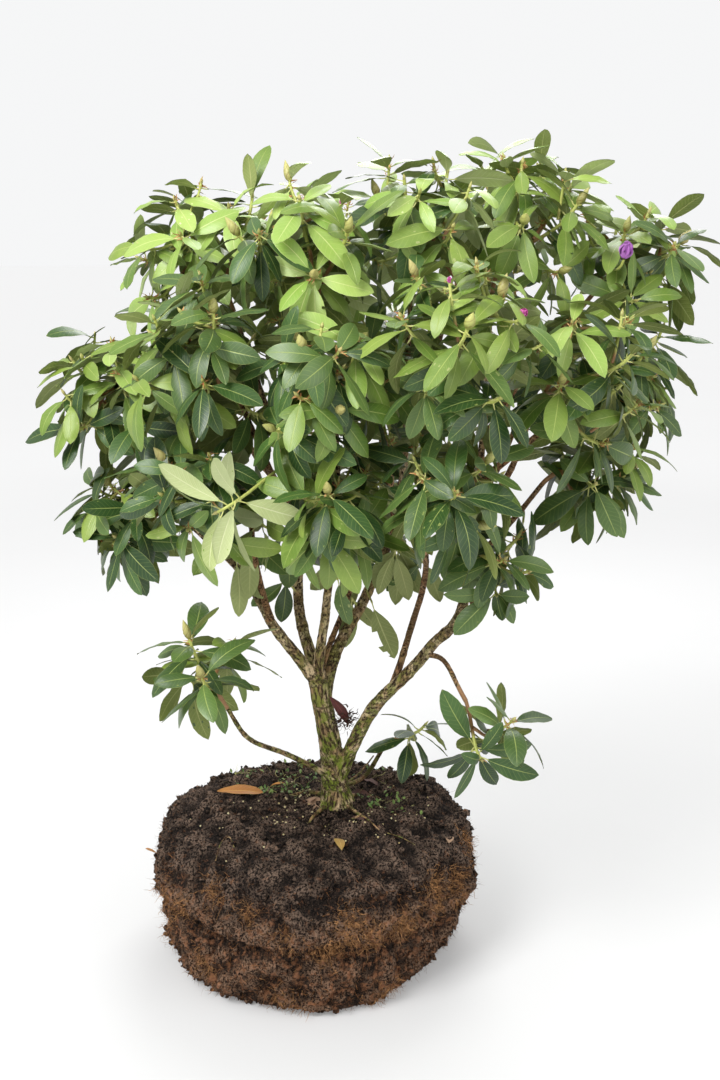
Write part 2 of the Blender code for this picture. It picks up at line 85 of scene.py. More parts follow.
# %% The camera
lens = bpy.data.cameras.new("camera")
lens.lens = 45
lens.sensor_width = 36
camera = bpy.data.objects.new("camera", lens)
camera.location = (0.07, -1.94, 1.072)
camera.rotation_euler = (math.radians(77.5), 0, 0)
bpy.context.scene.collection.objects.link(camera)
bpy.context.scene.camera = camera
print("camera at", tuple(camera.location))

# %% [markdown]
# ## The studio
#
# The shrub stands in a white photo studio, where light comes from everywhere and shadows nearly
# vanish. A bright world does most of that work. It looks brighter to the camera than it shines, as
# else its white would wash out the leaves. A broad soft lamp from above and the left adds a
# little shape, and a weak sun lifts the floor. The plain view transform is used, so that the greens
# come out as they are set.

# %% World and lamps
SKY_AS_LIGHT = 0.68
SKY_AS_SEEN = 0.93

scene = bpy.context.scene
scene.view_settings.view_transform = "Standard"
scene.world = bpy.data.worlds.new("studio")
scene.world.use_nodes = True
sky = scene.world.node_tree.nodes["Background"]
sky.inputs["Color"].default_value = (0.99, 0.995, 1.0, 1)
seen = scene.world.node_tree.nodes.new("ShaderNodeLightPath")
brightness = scene.world.node_tree.nodes.new("ShaderNodeMapRange")
brightness.inputs["To Min"].default_value = SKY_AS_LIGHT
brightness.inputs["To Max"].default_value = SKY_AS_SEEN
scene.world.node_tree.links.new(seen.outputs["Is Camera Ray"], brightness.inputs["Value"])
scene.world.node_tree.links.new(brightness.outputs["Result"], sky.inputs["Strength"])


def add_lamp(name, kind, place, aim, energy, **settings):
    """A lamp at a place, turned to face its aim, which the camera doesn't see itself."""
    data = bpy.data.lights.new(name, kind)
    data.energy = energy
    for key, value in settings.items():
        setattr(data, key, value)
    lamp = bpy.data.objects.new(name, data)
    lamp.location = place
    lamp.rotation_euler = (Vector(aim) - Vector(place)).to_track_quat("-Z", "Y").to_euler()
    lamp.visible_camera = False
    scene.collection.objects.link(lamp)
    return lamp


add_lamp("key", "AREA", (-1.3, -1.9, 2.6), (0.05, 0, 0.7), 88, size=1.4)
add_lamp("fill", "AREA", (1.9, -1.5, 1.6), (0.05, 0, 0.6), 16, size=1.6)
add_lamp("rim", "AREA", (0.4, 1.9, 2.4), (0.05, 0, 0.8), 42, size=1.6)
add_lamp("sun", "SUN", (0, 0, 3), (0.3, 0.5, 0), 0.35, angle=math.radians(60))

# %% [markdown]
# ## Small node helpers
#
# Every finish below is a node tree. It could be wired by hand in the shader editor, but a helper
# that adds a node and fills or links its sockets keeps each finish to a few lines. The short ones
# after it name the sums, ramps, mixes and noises that nearly every finish needs.

# %% Node helpers
def fill(tree, socket, value):
    """Links a socket to another node's output, or sets it to a plain value."""
    if isinstance(value, bpy.types.NodeSocket):
        tree.links.new(value, socket)
    elif value is not None:
        socket.default_value = value


def add_node(tree, kind, *values, out=0, settings=None, **named):
    """Adds a shader node, fills its sockets by order or by name, and returns an output."""
    node = tree.nodes.new("ShaderNode" + kind)
    for key, value in (settings or {}).items():
        setattr(node, key, value)
    for index, value in enumerate(values):
        fill(tree, node.inputs[index], value)
    for key, value in named.items():
        fill(tree, node.inputs[key.replace("_", " ")], value)
    return node.outputs[out]


def maths(tree, operation, *values, clamp=False):
    """One Math node."""
    return add_node(tree, "Math", *values, settings={"operation": operation, "use_clamp": clamp})


def times(tree, first, second, clamp=False):
    """A product."""
    return maths(tree, "MULTIPLY", first, second, clamp=clamp)


def plus(tree, first, second):
    """A sum."""
    return maths(tree, "ADD", first, second)


def minus(tree, first, second):
    """A difference."""
    return maths(tree, "SUBTRACT", first, second)


def ramp(tree, value, low, high, smooth=True):
    """A value mapped to 0 at low and to 1 at high."""
    kind = "SMOOTHSTEP" if smooth else "LINEAR"
    return add_node(tree, "MapRange", value, low, high, 0.0, 1.0, settings={"interpolation_type": kind})


def blend(tree, share, first, second):
    """A mix of two colours, given as links or as red, green and blue."""
    first, second = (
        colour if isinstance(colour, bpy.types.NodeSocket) else (*colour, 1) for colour in (first, second)
    )
    unused = [None] * 5
    return add_node(tree, "Mix", share, *unused, first, second, out=2, settings={"data_type": "RGBA"})


def noise_value(tree, place, scale, detail=3.0, roughness=0.55):
    """Noise from 0 to 1."""
    return add_node(tree, "TexNoise", Vector=place, Scale=scale, Detail=detail, Roughness=roughness)


def own_place(tree):
    """The place on the plant, in its own metres."""
    return add_node(tree, "TexCoord", out=3)


def stored(tree, name):
    """A vector stored on the points, and its three parts."""
    vector = add_node(tree, "Attribute", out=1, settings={"attribute_name": name})
    split = tree.nodes.new("ShaderNodeSeparateXYZ")
    tree.links.new(vector, split.inputs[0])
    return vector, *split.outputs


print("node helpers ready")

# %% [markdown]
# ## Groups and materials
#
# An effect that several finishes share is a node group with named sockets, so each finish places it
# with its own colours. A value that is the same all over a surface is set on the shader itself.

# %% Groups and materials
def new_group(name, inputs, outputs):
    """A node group with sockets made from {name: default}. Returns its tree, inputs and outputs."""
    tree = bpy.data.node_groups.new(name, "ShaderNodeTree")
    for socket, default in inputs.items():
        kind = "NodeSocketColor" if isinstance(default, tuple) else "NodeSocketFloat"
        made = tree.interface.new_socket(socket, in_out="INPUT", socket_type=kind)
        made.default_value = default
    for socket, kind in outputs.items():
        tree.interface.new_socket(socket, in_out="OUTPUT", socket_type="NodeSocket" + kind)
    return tree, tree.nodes.new("NodeGroupInput").outputs, tree.nodes.new("NodeGroupOutput").inputs


def use_group(tree, group, **values):
    """Places a group in a tree with its own values. Returns its outputs."""
    node = tree.nodes.new("ShaderNodeGroup")
    node.node_tree = group
    for key, value in values.items():
        value = (*value, 1) if isinstance(value, tuple) else value
        fill(tree, node.inputs[key.replace("_", " ")], value)
    return node.outputs


def new_finish(name, roughness=0.5, **constants):
    """A material with a Principled BSDF, whose constant sockets are set directly."""
    finish = bpy.data.materials.new(name)
    finish.use_nodes = True
    shader = finish.node_tree.nodes["Principled BSDF"]
    shader.inputs["Roughness"].default_value = roughness
    for key, value in constants.items():
        shader.inputs[key.replace("_", " ")].default_value = value
    return finish, finish.node_tree, shader.inputs


def relief(tree, inputs, height, distance, strength=1.0):
    """Feeds a height to the shader's normal through a Bump node."""
    bump = add_node(tree, "Bump", Strength=strength, Distance=distance, Height=height)
    tree.links.new(bump, inputs["Normal"])


print("material helpers ready")

# %% [markdown]
# ## The floor
#
# The floor is a plain matt white sheet. It could be a plane of any size, but a large disc reaches
# past the frame in every view, so no edge shows. A faint unevenness keeps it from looking painted
# on. White paper in such a studio hardly darkens, so the floor also glows a little, and more away
# from the plant, until it meets the white of the world.

# %% The floor
FLOOR_RADIUS = 60.0
FLOOR_SIDES = 64
GLOW_NEAR = 0.19
GLOW_FAR = 0.469
GLOW_RUN = (0.6, 5.2)

floor_mesh = bpy.data.meshes.new("floor")
turns = [2 * math.pi * k / FLOOR_SIDES for k in range(FLOOR_SIDES)]
floor_points = [(FLOOR_RADIUS * math.cos(t), FLOOR_RADIUS * math.sin(t), 0) for t in turns]
floor_mesh.from_pydata(floor_points, [], [tuple(range(FLOOR_SIDES))])
floor = bpy.data.objects.new("floor", floor_mesh)
scene.collection.objects.link(floor)
floor_white, tree, inputs = new_finish("floor white", roughness=0.9, Specular_IOR_Level=0.1)
place = own_place(tree)
cloud = noise_value(tree, place, 2.0)
tree.links.new(blend(tree, cloud, (0.54, 0.54, 0.54), (0.56, 0.56, 0.558)), inputs["Base Color"])
distance = add_node(tree, "VectorMath", place, out=1, settings={"operation": "LENGTH"})
glow = blend(tree, ramp(tree, distance, *GLOW_RUN), [GLOW_NEAR] * 3, [GLOW_FAR] * 3)
tree.links.new(glow, inputs["Emission Color"])
inputs["Emission Strength"].default_value = 1.0
floor_mesh.materials.append(floor_white)
print("floor radius", FLOOR_RADIUS)

# %% [markdown]
# ## Meshes from arrays
#
# A crown has more than two thousand leaves. Making an object for each would be slow and heavy, so
# each kind of small thing is one joined mesh, written straight from arrays of points and faces. The
# helper also stores named vectors on the points, which the finishes read to know where on a leaf or
# a stem they are.

# %% Array mesh helper
def joined_piece(name, points, quads, finishes, slots=None, smooth=True, vectors=None):
    """One mesh object from arrays of points and 4-sided (or 3-sided) faces, riding on the plant."""
    mesh = bpy.data.meshes.new(name)
    points = np.asarray(points, dtype=np.float32).reshape(-1, 3)
    quads = np.asarray(quads, dtype=np.int32)
    sides = quads.shape[1]
    mesh.vertices.add(len(points))
    mesh.vertices.foreach_set("co", points.ravel())
    mesh.loops.add(quads.size)
    mesh.loops.foreach_set("vertex_index", quads.ravel())
    mesh.polygons.add(len(quads))
    mesh.polygons.foreach_set("loop_start", np.arange(0, quads.size, sides, dtype=np.int32))
    if slots is not None:
        mesh.polygons.foreach_set("material_index", np.asarray(slots, dtype=np.int32))
    mesh.update(calc_edges=True)
    mesh.validate()
    for key, values in (vectors or {}).items():
        made = mesh.attributes.new(key, "FLOAT_VECTOR", "POINT")
        made.data.foreach_set("vector", np.asarray(values, dtype=np.float32).ravel())
    for finish in finishes:
        mesh.materials.append(finish)
    if smooth:
        mesh.shade_smooth()
    return show_piece(name, mesh)


def show_piece(name, mesh):
    """Links a mesh as a piece of the plant."""
    piece = bpy.data.objects.new(name, mesh)
    scene.collection.objects.link(piece)
    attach(piece, "root")
    triangles = sum(len(face.vertices) - 2 for face in mesh.polygons)
    print(f"{name}: {triangles} triangles")
    return piece


class Shape:
    """Points, faces and point vectors gathered from many small meshes, for one joined piece."""

    def __init__(self):
        self.points, self.faces, self.places, self.count = [], [], [], 0

    def add(self, points, faces, places=None):
        points = np.asarray(points, dtype=np.float64).reshape(-1, 3)
        self.points.append(points)
        self.faces.append(np.asarray(faces, dtype=np.int64) + self.count)
        self.places.append(np.zeros_like(points) if places is None else np.asarray(places).reshape(-1, 3))
        self.count += len(points)

    def piece(self, name, finish, smooth=True, key="place"):
        arrays = np.concatenate(self.points), np.concatenate(self.faces)
        vectors = {key: np.concatenate(self.places)}
        return joined_piece(name, *arrays, [finish], smooth=smooth, vectors=vectors)


print("mesh helpers ready")

# %% [markdown]
# ## The plan of the plant
#
# The solid model states the plant in two tables: the boughs, each with the bends that it passes, and
# the masses of foliage, each with a middle, a reach and a number of shoots. The same numbers stand
# here, because the twigs and leaves have to grow inside the same masses. A picture could be traced
# leaf by leaf instead, but a rule fills the unseen sides too.

# %% Measures of the solid model
GAP = 0.0003
LIMB_GAP = 0.001
BALL_HEIGHT = 0.238
TRUNK_FOOT = Vector((0.035, -0.030, BALL_HEIGHT + GAP))
TRUNK_FORK = Vector((0.005, -0.030, 0.448))
TRUNK_LEAN = Vector((0.026, -0.032, 0.330))
TRUNK_KNOTS = (TRUNK_FOOT, TRUNK_LEAN, TRUNK_FORK)
TRUNK_FOOT_RADIUS = 0.0185
TRUNK_FORK_RADIUS = 0.0140
ROOT_FLARE = 0.55
FLARE_HEIGHT = 0.03
TRUNK_SIDES = 10
TRUNK_RINGS = 8
TRUNK_RING_CROWDING = 1.5
BOUGH_SIDES = 5
BOUGH_STEP = 0.065
BOUGH_TIP_RADIUS = 0.0034
BOUGH_TAPER = 0.8
BOUGH_DEPTH = 0.5
CURVE_STEPS = 12
HEART = Vector((0.08, -0.02, 0.58))
UP = Vector((0, 0, 1))
LEAF_LENGTH = 0.093
LEAF_WIDTH = 0.036
TWIG_SIDES = 3
FORK_RADIUS = 0.0029
SHOOT_RADIUS = 0.0023
HUB_DEPTH = 0.22
FORK_SHARE = 0.45
SHOOT_PULL, OUTWARD_PULL, LIGHT_PULL = 0.7, 0.6, 0.7
BUD_LENGTH = 0.024
BUD_RADIUS = 0.0062
BUD_SWELL = 0.35
BUD_SHARE = 0.30
SPOTS = 60
SPOT_INSET = 0.55
SPOT_DEPTHS = (0.62, 1.0)
ROOM_WANTED = 0.15
EDGE_WORTH = 0.04
FIRST_SEED = 1000
print("trunk", TRUNK_FOOT.z, "to", TRUNK_FORK.z)


# %% The tables
class Limb(NamedTuple):
    """A bough: where it leaves its parent, the bends that it passes, and its base radius."""

    name: str
    parent: str
    share: float
    bends: tuple
    radius: float


class Mass(NamedTuple):
    """A mass of foliage: its bough, middle, reach, shoots and facing, and a shoot that stands out."""

    name: str
    bough: str
    middle: tuple
    reach: float
    shoots: int
    facing: tuple = None
    leader: tuple = None


LIMBS = (
    Limb("stem_right", "trunk", 0.16, ((0.088, -0.06, 0.4), (0.17, -0.08, 0.5), (0.225, -0.09, 0.61)), 0.012),
    Limb("bough_left", "trunk", 0.93, ((-0.050, -0.07, 0.525), (-0.100, -0.09, 0.618)), 0.0105),
    Limb("bough_left_upright", "trunk", 0.98, ((-0.021, 0.0, 0.543), (-0.025, 0.01, 0.70)), 0.0098),
    Limb("bough_front", "trunk", 0.97, ((0.022, -0.08, 0.565), (0.038, -0.12, 0.68)), 0.0085),
    Limb("bough_centre", "trunk", 0.76, ((0.034, 0, 0.47), (0.079, 0.03, 0.55), (0.128, 0.03, 0.7)), 0.0105),
    Limb("bough_back", "trunk", 0.95, ((0.050, 0.04, 0.540),), 0.0052),
    Limb("bough_low_left", "trunk", 0.20, ((-0.031, -0.10, 0.345), (-0.085, -0.14, 0.384)), 0.0050),
    Limb("bough_low_back", "trunk", 0.12, ((0.075, 0.02, 0.262),), 0.0036),
    Limb("bough_low_right", "stem_right", 0.33, ((0.190, -0.09, 0.487),), 0.0036),
    Limb("bough_left_outer", "bough_left", 0.55, ((-0.135, -0.05, 0.72),), 0.0060),
    Limb("bough_left_front", "bough_left", 0.40, ((-0.075, -0.125, 0.64),), 0.0054),
    Limb("bough_left_middle", "bough_left_upright", 0.40, ((-0.055, -0.08, 0.76),), 0.0058),
    Limb("bough_back_left", "bough_left_upright", 0.46, ((-0.080, 0.06, 0.75),), 0.0060),
    Limb("bough_top_back_left", "bough_left_upright", 0.58, ((-0.020, 0.07, 0.86),), 0.0056),
    Limb("bough_centre_low", "bough_front", 0.45, ((0.035, -0.15, 0.655),), 0.0050),
    Limb("bough_top_left", "bough_front", 0.62, ((0.015, -0.11, 0.86),), 0.0056),
    Limb("bough_back_middle", "bough_centre", 0.50, ((0.105, 0.10, 0.72),), 0.0060),
    Limb("bough_heart", "bough_centre", 0.44, ((0.115, -0.01, 0.74),), 0.0052),
    Limb("bough_top_back", "bough_centre", 0.66, ((0.165, 0.08, 0.86),), 0.0058),
    Limb("bough_centre_right_low", "stem_right", 0.24, ((0.147, -0.045, 0.53), (0.163, -0.09, 0.62)), 0.0056),
    Limb("bough_lower_right", "stem_right", 0.43, ((0.228, -0.110, 0.565),), 0.0042),
    Limb("bough_right_low", "stem_right", 0.46, ((0.238, -0.065, 0.628), (0.300, -0.045, 0.695)), 0.0058),
    Limb("bough_centre_right", "stem_right", 0.56, ((0.222, -0.14, 0.78),), 0.0060),
    Limb("bough_right_middle", "stem_right", 0.60, ((0.275, -0.10, 0.76),), 0.0060),
    Limb("bough_right", "stem_right", 0.67, ((0.330, -0.04, 0.81),), 0.0058),
    Limb("bough_back_right", "stem_right", 0.63, ((0.275, 0.03, 0.75),), 0.0060),
    Limb("bough_shoulder", "stem_right", 0.74, ((0.310, -0.02, 0.90),), 0.0056),
)

MASSES = (
    Mass("foliage_left_top", "bough_left_upright", (-0.14, -0.02, 1.045), 0.155, 6, None, (-0.08, 0.0, 1.13)),
    Mass("foliage_top_left", "bough_top_left", (0.005, -0.14, 1.045), 0.155, 5),
    Mass("foliage_top", "bough_centre", (0.150, -0.08, 1.070), 0.160, 5),
    Mass("foliage_top_right", "stem_right", (0.285, -0.03, 1.075), 0.160, 6),
    Mass("foliage_shoulder", "bough_shoulder", (0.425, 0.00, 1.035), 0.150, 5),
    Mass("foliage_top_back_left", "bough_top_back_left", (0.000, 0.15, 1.040), 0.160, 5),
    Mass("foliage_top_back", "bough_top_back", (0.230, 0.16, 1.050), 0.165, 5),
    Mass("foliage_left_tip", "bough_left_outer", (-0.260, -0.06, 0.860), 0.140, 5),
    Mass("foliage_left_middle", "bough_left_middle", (-0.125, -0.17, 0.920), 0.155, 6),
    Mass("foliage_centre", "bough_front", (0.030, -0.24, 0.900), 0.155, 5),
    Mass("foliage_centre_right", "bough_centre_right", (0.190, -0.25, 0.940), 0.160, 6),
    Mass("foliage_right_middle", "bough_right_middle", (0.345, -0.17, 0.900), 0.155, 5),
    Mass("foliage_right", "bough_right", (0.430, -0.01, 0.885), 0.135, 5, None, (0.500, 0.0, 0.950)),
    Mass("foliage_back_left", "bough_back_left", (-0.180, 0.13, 0.880), 0.160, 5),
    Mass("foliage_heart", "bough_heart", (0.105, -0.06, 0.900), 0.140, 4),
    Mass("foliage_back", "bough_back_middle", (0.110, 0.22, 0.870), 0.165, 5),
    Mass("foliage_back_right", "bough_back_right", (0.370, 0.16, 0.860), 0.155, 5),
    Mass("foliage_left_low", "bough_left", (-0.245, -0.04, 0.705), 0.130, 5),
    Mass("foliage_left_front", "bough_left_front", (-0.120, -0.19, 0.765), 0.135, 5),
    Mass("foliage_centre_low", "bough_centre_low", (0.030, -0.22, 0.755), 0.135, 5),
    Mass("foliage_centre_right_low", "bough_centre_right_low", (0.175, -0.24, 0.770), 0.135, 4),
    Mass("foliage_right_low", "bough_right_low", (0.380, -0.07, 0.770), 0.125, 4),
    Mass("foliage_lower_right", "bough_lower_right", (0.250, -0.14, 0.650), 0.110, 3),
    Mass("foliage_back_low", "bough_back", (0.090, 0.13, 0.680), 0.130, 4),
    Mass("foliage_low_left", "bough_low_left", (-0.135, -0.17, 0.490), 0.115, 3, (-0.35, -0.20, 0.90)),
    Mass("foliage_low_right", "bough_low_right", (0.237, -0.13, 0.410), 0.110, 2, (0.35, -0.25, -0.55)),
    Mass("foliage_low_back", "bough_low_back", (0.145, 0.03, 0.322), 0.085, 1, (0.90, 0.05, 0.35)),
)
print(len(LIMBS), "boughs", len(MASSES), "masses")

# %% [markdown]
# ## Lines of the limbs
#
# A bough is a smooth line through its bends, from inside its parent to the mass that it carries. A
# Catmull-Rom curve passes through every bend, which a Bezier with guessed handles wouldn't. The same
# curve is used as in the solid model, only read in finer steps.

# %% Curves
def along(points, share):
    """The point at this share of the length of a line through the points."""
    lengths = [(b - a).length for a, b in zip(points, points[1:])]
    left = share * sum(lengths)
    for a, b, length in zip(points, points[1:], lengths):
        if left <= length:
            return a.lerp(b, left / length)
        left -= length
    return points[-1].copy()


def smooth_line(knots, step):
    """Evenly spaced points on a Catmull-Rom curve through the knots."""
    ends = [2 * knots[0] - knots[1], *knots, 2 * knots[-1] - knots[-2]]
    fine = []
    for before, a, b, after in zip(ends, ends[1:], ends[2:], ends[3:]):
        for t in (i / CURVE_STEPS for i in range(CURVE_STEPS)):
            squared = 2 * before - 5 * a + 4 * b - after
            cubed = 3 * a - before - 3 * b + after
            fine.append(0.5 * (2 * a + t * (b - before) + t**2 * squared + t**3 * cubed))
    fine.append(knots[-1].copy())
    length = sum((b - a).length for a, b in zip(fine, fine[1:]))
    count = max(3, round(length / step))
    return [along(fine, i / count) for i in range(count + 1)]


def tangents(path):
    """The unit direction of the path at each of its points."""
    last = len(path) - 1
    return [(path[min(i + 1, last)] - path[max(i - 1, 0)]).normalized() for i in range(last + 1)]


def swung(turn, side, across):
    """The direction at this turn in the plane of side and across."""
    return math.cos(turn) * side + math.sin(turn) * across


def trunk_radius(share, height):
    """The trunk's radius at a share of its length, with the flare at its foot."""
    plain = TRUNK_FOOT_RADIUS + share * (TRUNK_FORK_RADIUS - TRUNK_FOOT_RADIUS)
    return plain * (1 + ROOT_FLARE * math.exp(-(height - TRUNK_FOOT.z) / FLARE_HEIGHT))


def trunk_line():
    """The trunk's path and radii, with rings crowded at its foot."""
    curve = smooth_line(TRUNK_KNOTS, BOUGH_STEP / 6)
    shares = [(i / TRUNK_RINGS) ** TRUNK_RING_CROWDING for i in range(TRUNK_RINGS + 1)]
    path = [along(curve, share) for share in shares]
    return path, [trunk_radius(share, point.z) for share, point in zip(shares, path)]


def facing_of(mass):
    """The way that a mass faces: out from the crown's heart, or as stated."""
    if mass.facing:
        return Vector(mass.facing).normalized()
    return (Vector(mass.middle) - HEART).normalized()


def bough_knots(limb, lines):
    """The points that a bough passes, from inside its parent to where it enters its mass."""
    mass = next(m for m in MASSES if m.bough == limb.name)
    tip = Vector(mass.middle) - BOUGH_DEPTH * mass.reach * facing_of(mass)
    return [along(lines[limb.parent][0], limb.share), *map(Vector, limb.bends), tip]


def bough_line(knots, radius, step):
    """A bough's path and radii in steps of this length."""
    path = smooth_line(knots, step)
    last = len(path) - 1
    shares = [(i / last) ** BOUGH_TAPER for i in range(last + 1)]
    return path, [radius + (BOUGH_TIP_RADIUS - radius) * share for share in shares]


lines = {"trunk": trunk_line()}
knots_of = {}
for limb in LIMBS:
    knots_of[limb.name] = bough_knots(limb, lines)
    lines[limb.name] = bough_line(knots_of[limb.name], limb.radius, BOUGH_STEP)
print("limb lines", len(lines))


# %% Tubes
def ring_faces(rings, count):
    """The faces of a closed stack of rings, with a flat cap at each end."""
    faces = [tuple(reversed(range(count)))]
    for low in range(0, (rings - 1) * count, count):
        for k in range(count):
            after = (k + 1) % count
            faces.append((low + k, low + after, low + count + after, low + count + k))
    faces.append(tuple(range((rings - 1) * count, rings * count)))
    return faces


def ring_points(path, radii, sides, directions):
    """The points of rings round a path, each square to its direction and none twisted to the next."""
    side = directions[0].orthogonal().normalized()
    points = []
    for centre, direction, radius in zip(path, directions, radii):
        side = (side - side.dot(direction) * direction).normalized()
        across = direction.cross(side)
        points += [centre + radius * swung(2 * math.pi * k / sides, side, across) for k in range(sides)]
    return points


def open_rings(path, radii, sides):
    """A tube with no caps, as (points, faces)."""
    return ring_points(path, radii, sides, tangents(path)), ring_faces(len(path), sides)[1:-1]


def tube(path, radii, sides, first_normal=None, apex=None):
    """A closed tube round the path, as (points, faces). It ends in a flat cap, or in a point at apex."""
    directions = tangents(path)
    if first_normal is not None:
        directions[0] = first_normal
    points = ring_points(path, radii, sides, directions)
    faces = ring_faces(len(path), sides)
    if apex is not None:
        cap = faces.pop()
        faces += [(a, b, len(points)) for a, b in zip(cap, cap[1:] + cap[:1])]
        points.append(apex)
    return points, faces


def limb_shape(name, path, radii, swell=0.0):
    """A limb's plain tube as the solid model has it, fatter by the swell."""
    trunk = name == "trunk"
    sides = TRUNK_SIDES if trunk else BOUGH_SIDES
    return tube(path, [radius + swell for radius in radii], sides, UP if trunk else None)


limb_trees = [BVHTree.FromPolygons(*limb_shape(name, *line, LIMB_GAP)) for name, line in lines.items()]
print("limb trees", len(limb_trees))

# %% [markdown]
# ## Growing the shoots
#
# Each mass keeps to its own space: no farther from its middle than its reach, and no nearer to any
# other middle. Its shoots leave one hub in twos, and each tip takes the roomiest of sixty seeded
# spots. This cell repeats the solid model's draws one for one, so the whorls land in the same places.

# %% The source's rule
class Space:
    """A mass's own space: nearer to its middle, by reach, than to any other, and within its reach."""

    def __init__(self, mass):
        self.middle = Vector(mass.middle)
        self.reach = mass.reach
        self.walls = []
        for other in MASSES:
            if other.name == mass.name:
                continue
            across = Vector(other.middle) - self.middle
            distance = across.length
            wall = (distance**2 + mass.reach**2 - other.reach**2) / (2 * distance)
            self.walls.append((across / distance, wall))

    def holds(self, points, margin=GAP, leader=False):
        """True if every point is clear of the walls and, but for the leader's, within the reach."""
        for point in points:
            offset = point - self.middle
            if offset.length > self.reach and not leader:
                return False
            if any(offset.dot(way) > wall - margin for way, wall in self.walls):
                return False
        return True


class Shoot(NamedTuple):
    """A shoot: its two ends, the way that it faces, and whether it is its mass's leader."""

    start: Vector
    tip: Vector
    facing: Vector
    leader: bool


def touches(shape, trees):
    """True if the shape's surface crosses any of the trees."""
    tree = BVHTree.FromPolygons(*shape)
    return any(tree.overlap(other) for other in trees)


def random_way(rng):
    """A direction from the whole sphere."""
    level = rng.uniform(-1, 1)
    turn = rng.uniform(0, 2 * math.pi)
    ring = math.sqrt(1 - level * level)
    return Vector((ring * math.cos(turn), ring * math.sin(turn), level))


def pick_tips(mass, space, hub, wanted, depths, taken, rng, tips):
    """The tips of a mass's shoots. Each takes the roomiest of its seeded spots, and the outer of equals."""
    facing = facing_of(mass)
    while len(tips) < wanted:
        best, best_score = None, -1
        for _ in range(SPOTS):
            distance = (mass.reach - SPOT_INSET * LEAF_LENGTH) * rng.uniform(*depths)
            spot = space.middle + distance * random_way(rng)
            if not space.holds([spot], BUD_LENGTH + GAP):
                continue
            if touches(tube([hub, spot], [2 * FORK_RADIUS] * 2, TWIG_SIDES), limb_trees):
                continue
            room = min((spot - other).length for other in [*taken, hub])
            edge = (spot - space.middle).dot(facing) / mass.reach
            score = min(room, ROOM_WANTED) + EDGE_WORTH * edge
            if score > best_score:
                best, best_score = spot, score
        if best is None:
            break
        tips.append(best)
        taken.append(best)
    return tips


def whorl_facing(way, tip, space):
    """The way that a whorl faces: along its shoot, outwards and to the light."""
    outward = (tip - space.middle).normalized()
    return (SHOOT_PULL * way + OUTWARD_PULL * outward + LIGHT_PULL * UP).normalized()


def grow(mass, space, bough_tip, bough_way, taken, rng):
    """A mass's hub and shoots: they leave the hub in twos, the second forking off the first."""
    facing = facing_of(mass)
    side = facing.orthogonal().normalized()
    across = facing.cross(side)
    hub = bough_tip + HUB_DEPTH * mass.reach * (bough_way + facing).normalized()
    tips = [Vector(mass.leader)] if mass.leader else []
    taken += tips
    tips = pick_tips(mass, space, hub, mass.shoots, SPOT_DEPTHS, taken, rng, tips)
    leader = tips[0] if mass.leader else None
    tips.sort(key=lambda tip: math.atan2((tip - hub).dot(across), (tip - hub).dot(side)))
    shoots = []
    for pair in (tips[i : i + 2] for i in range(0, len(tips), 2)):
        start = hub
        for tip in pair:
            face = whorl_facing((tip - start).normalized(), tip, space)
            shoots.append(Shoot(start, tip, UP if tip is leader else face, tip is leader))
            start = hub.lerp(tip, FORK_SHARE)
    return hub, shoots


# %% Hubs and shoots of every mass
class Bunch(NamedTuple):
    """What has grown in one mass: its space, hub, shoots and which of them end in a fat bud."""

    mass: Mass
    space: Space
    foot: Vector
    way: Vector
    hub: Vector
    shoots: list
    buds: list


def fat_bud_shape(shoot):
    """The solid model's twig with a fat bud, to see if it fits."""
    way = (shoot.tip - shoot.start).normalized()
    path = [shoot.start, shoot.tip, shoot.tip + BUD_SWELL * BUD_LENGTH * way]
    return tube(path, (FORK_RADIUS, SHOOT_RADIUS, BUD_RADIUS), TWIG_SIDES, None, shoot.tip + BUD_LENGTH * way)


def plain_twig(shoot):
    """The solid model's twig with no bud."""
    return tube([shoot.start, shoot.tip], (FORK_RADIUS, SHOOT_RADIUS), TWIG_SIDES)


bunches = []
taken = []
for number, mass in enumerate(MASSES):
    path = lines[mass.bough][0]
    way = (path[-1] - path[-2]).normalized()
    rng = random.Random(FIRST_SEED + number)
    space = Space(mass)
    hub, shoots = grow(mass, space, path[-1], way, taken, rng)
    kept, buds = [], []
    for shoot in shoots:
        if touches(plain_twig(shoot), limb_trees):
            continue
        fits = rng.random() < BUD_SHARE and space.holds(fat_bud_shape(shoot)[0], GAP, shoot.leader)
        kept.append(shoot)
        buds.append(fits)
    bunches.append(Bunch(mass, space, path[-1], way, hub, kept, buds))
print("shoots", sum(len(b.shoots) for b in bunches), "fat buds", sum(sum(b.buds) for b in bunches))

# %% [markdown]
# ## Carrying the rule to finer twigs
#
# A real shrub of this size has about twice as many whorls as the solids can afford. So each mass
# gets side twigs by the same search for room, now also deeper in the mass, and each side twig leaves
# the nearest shoot part of the way up, at an easy angle.

# %% Side twigs
SIDE_TWIGS = 1.6
SIDE_DEPTHS = (0.30, 1.05)
SIDE_SHARES = (0.30, 0.45, 0.60, 0.75)
SIDE_SEED = 5000


def side_start(tip, hub, shoots):
    """Where a side twig leaves a shoot, so that it is short and keeps on outwards."""
    best, best_cost = hub, 1.4 * (tip - hub).length
    for shoot in shoots:
        way = (shoot.tip - shoot.start).normalized()
        for share in SIDE_SHARES:
            start = shoot.start.lerp(shoot.tip, share)
            reach = tip - start
            cost = reach.length * (1.6 - 0.6 * reach.normalized().dot(way))
            if cost < best_cost:
                best, best_cost = start, cost
    return best


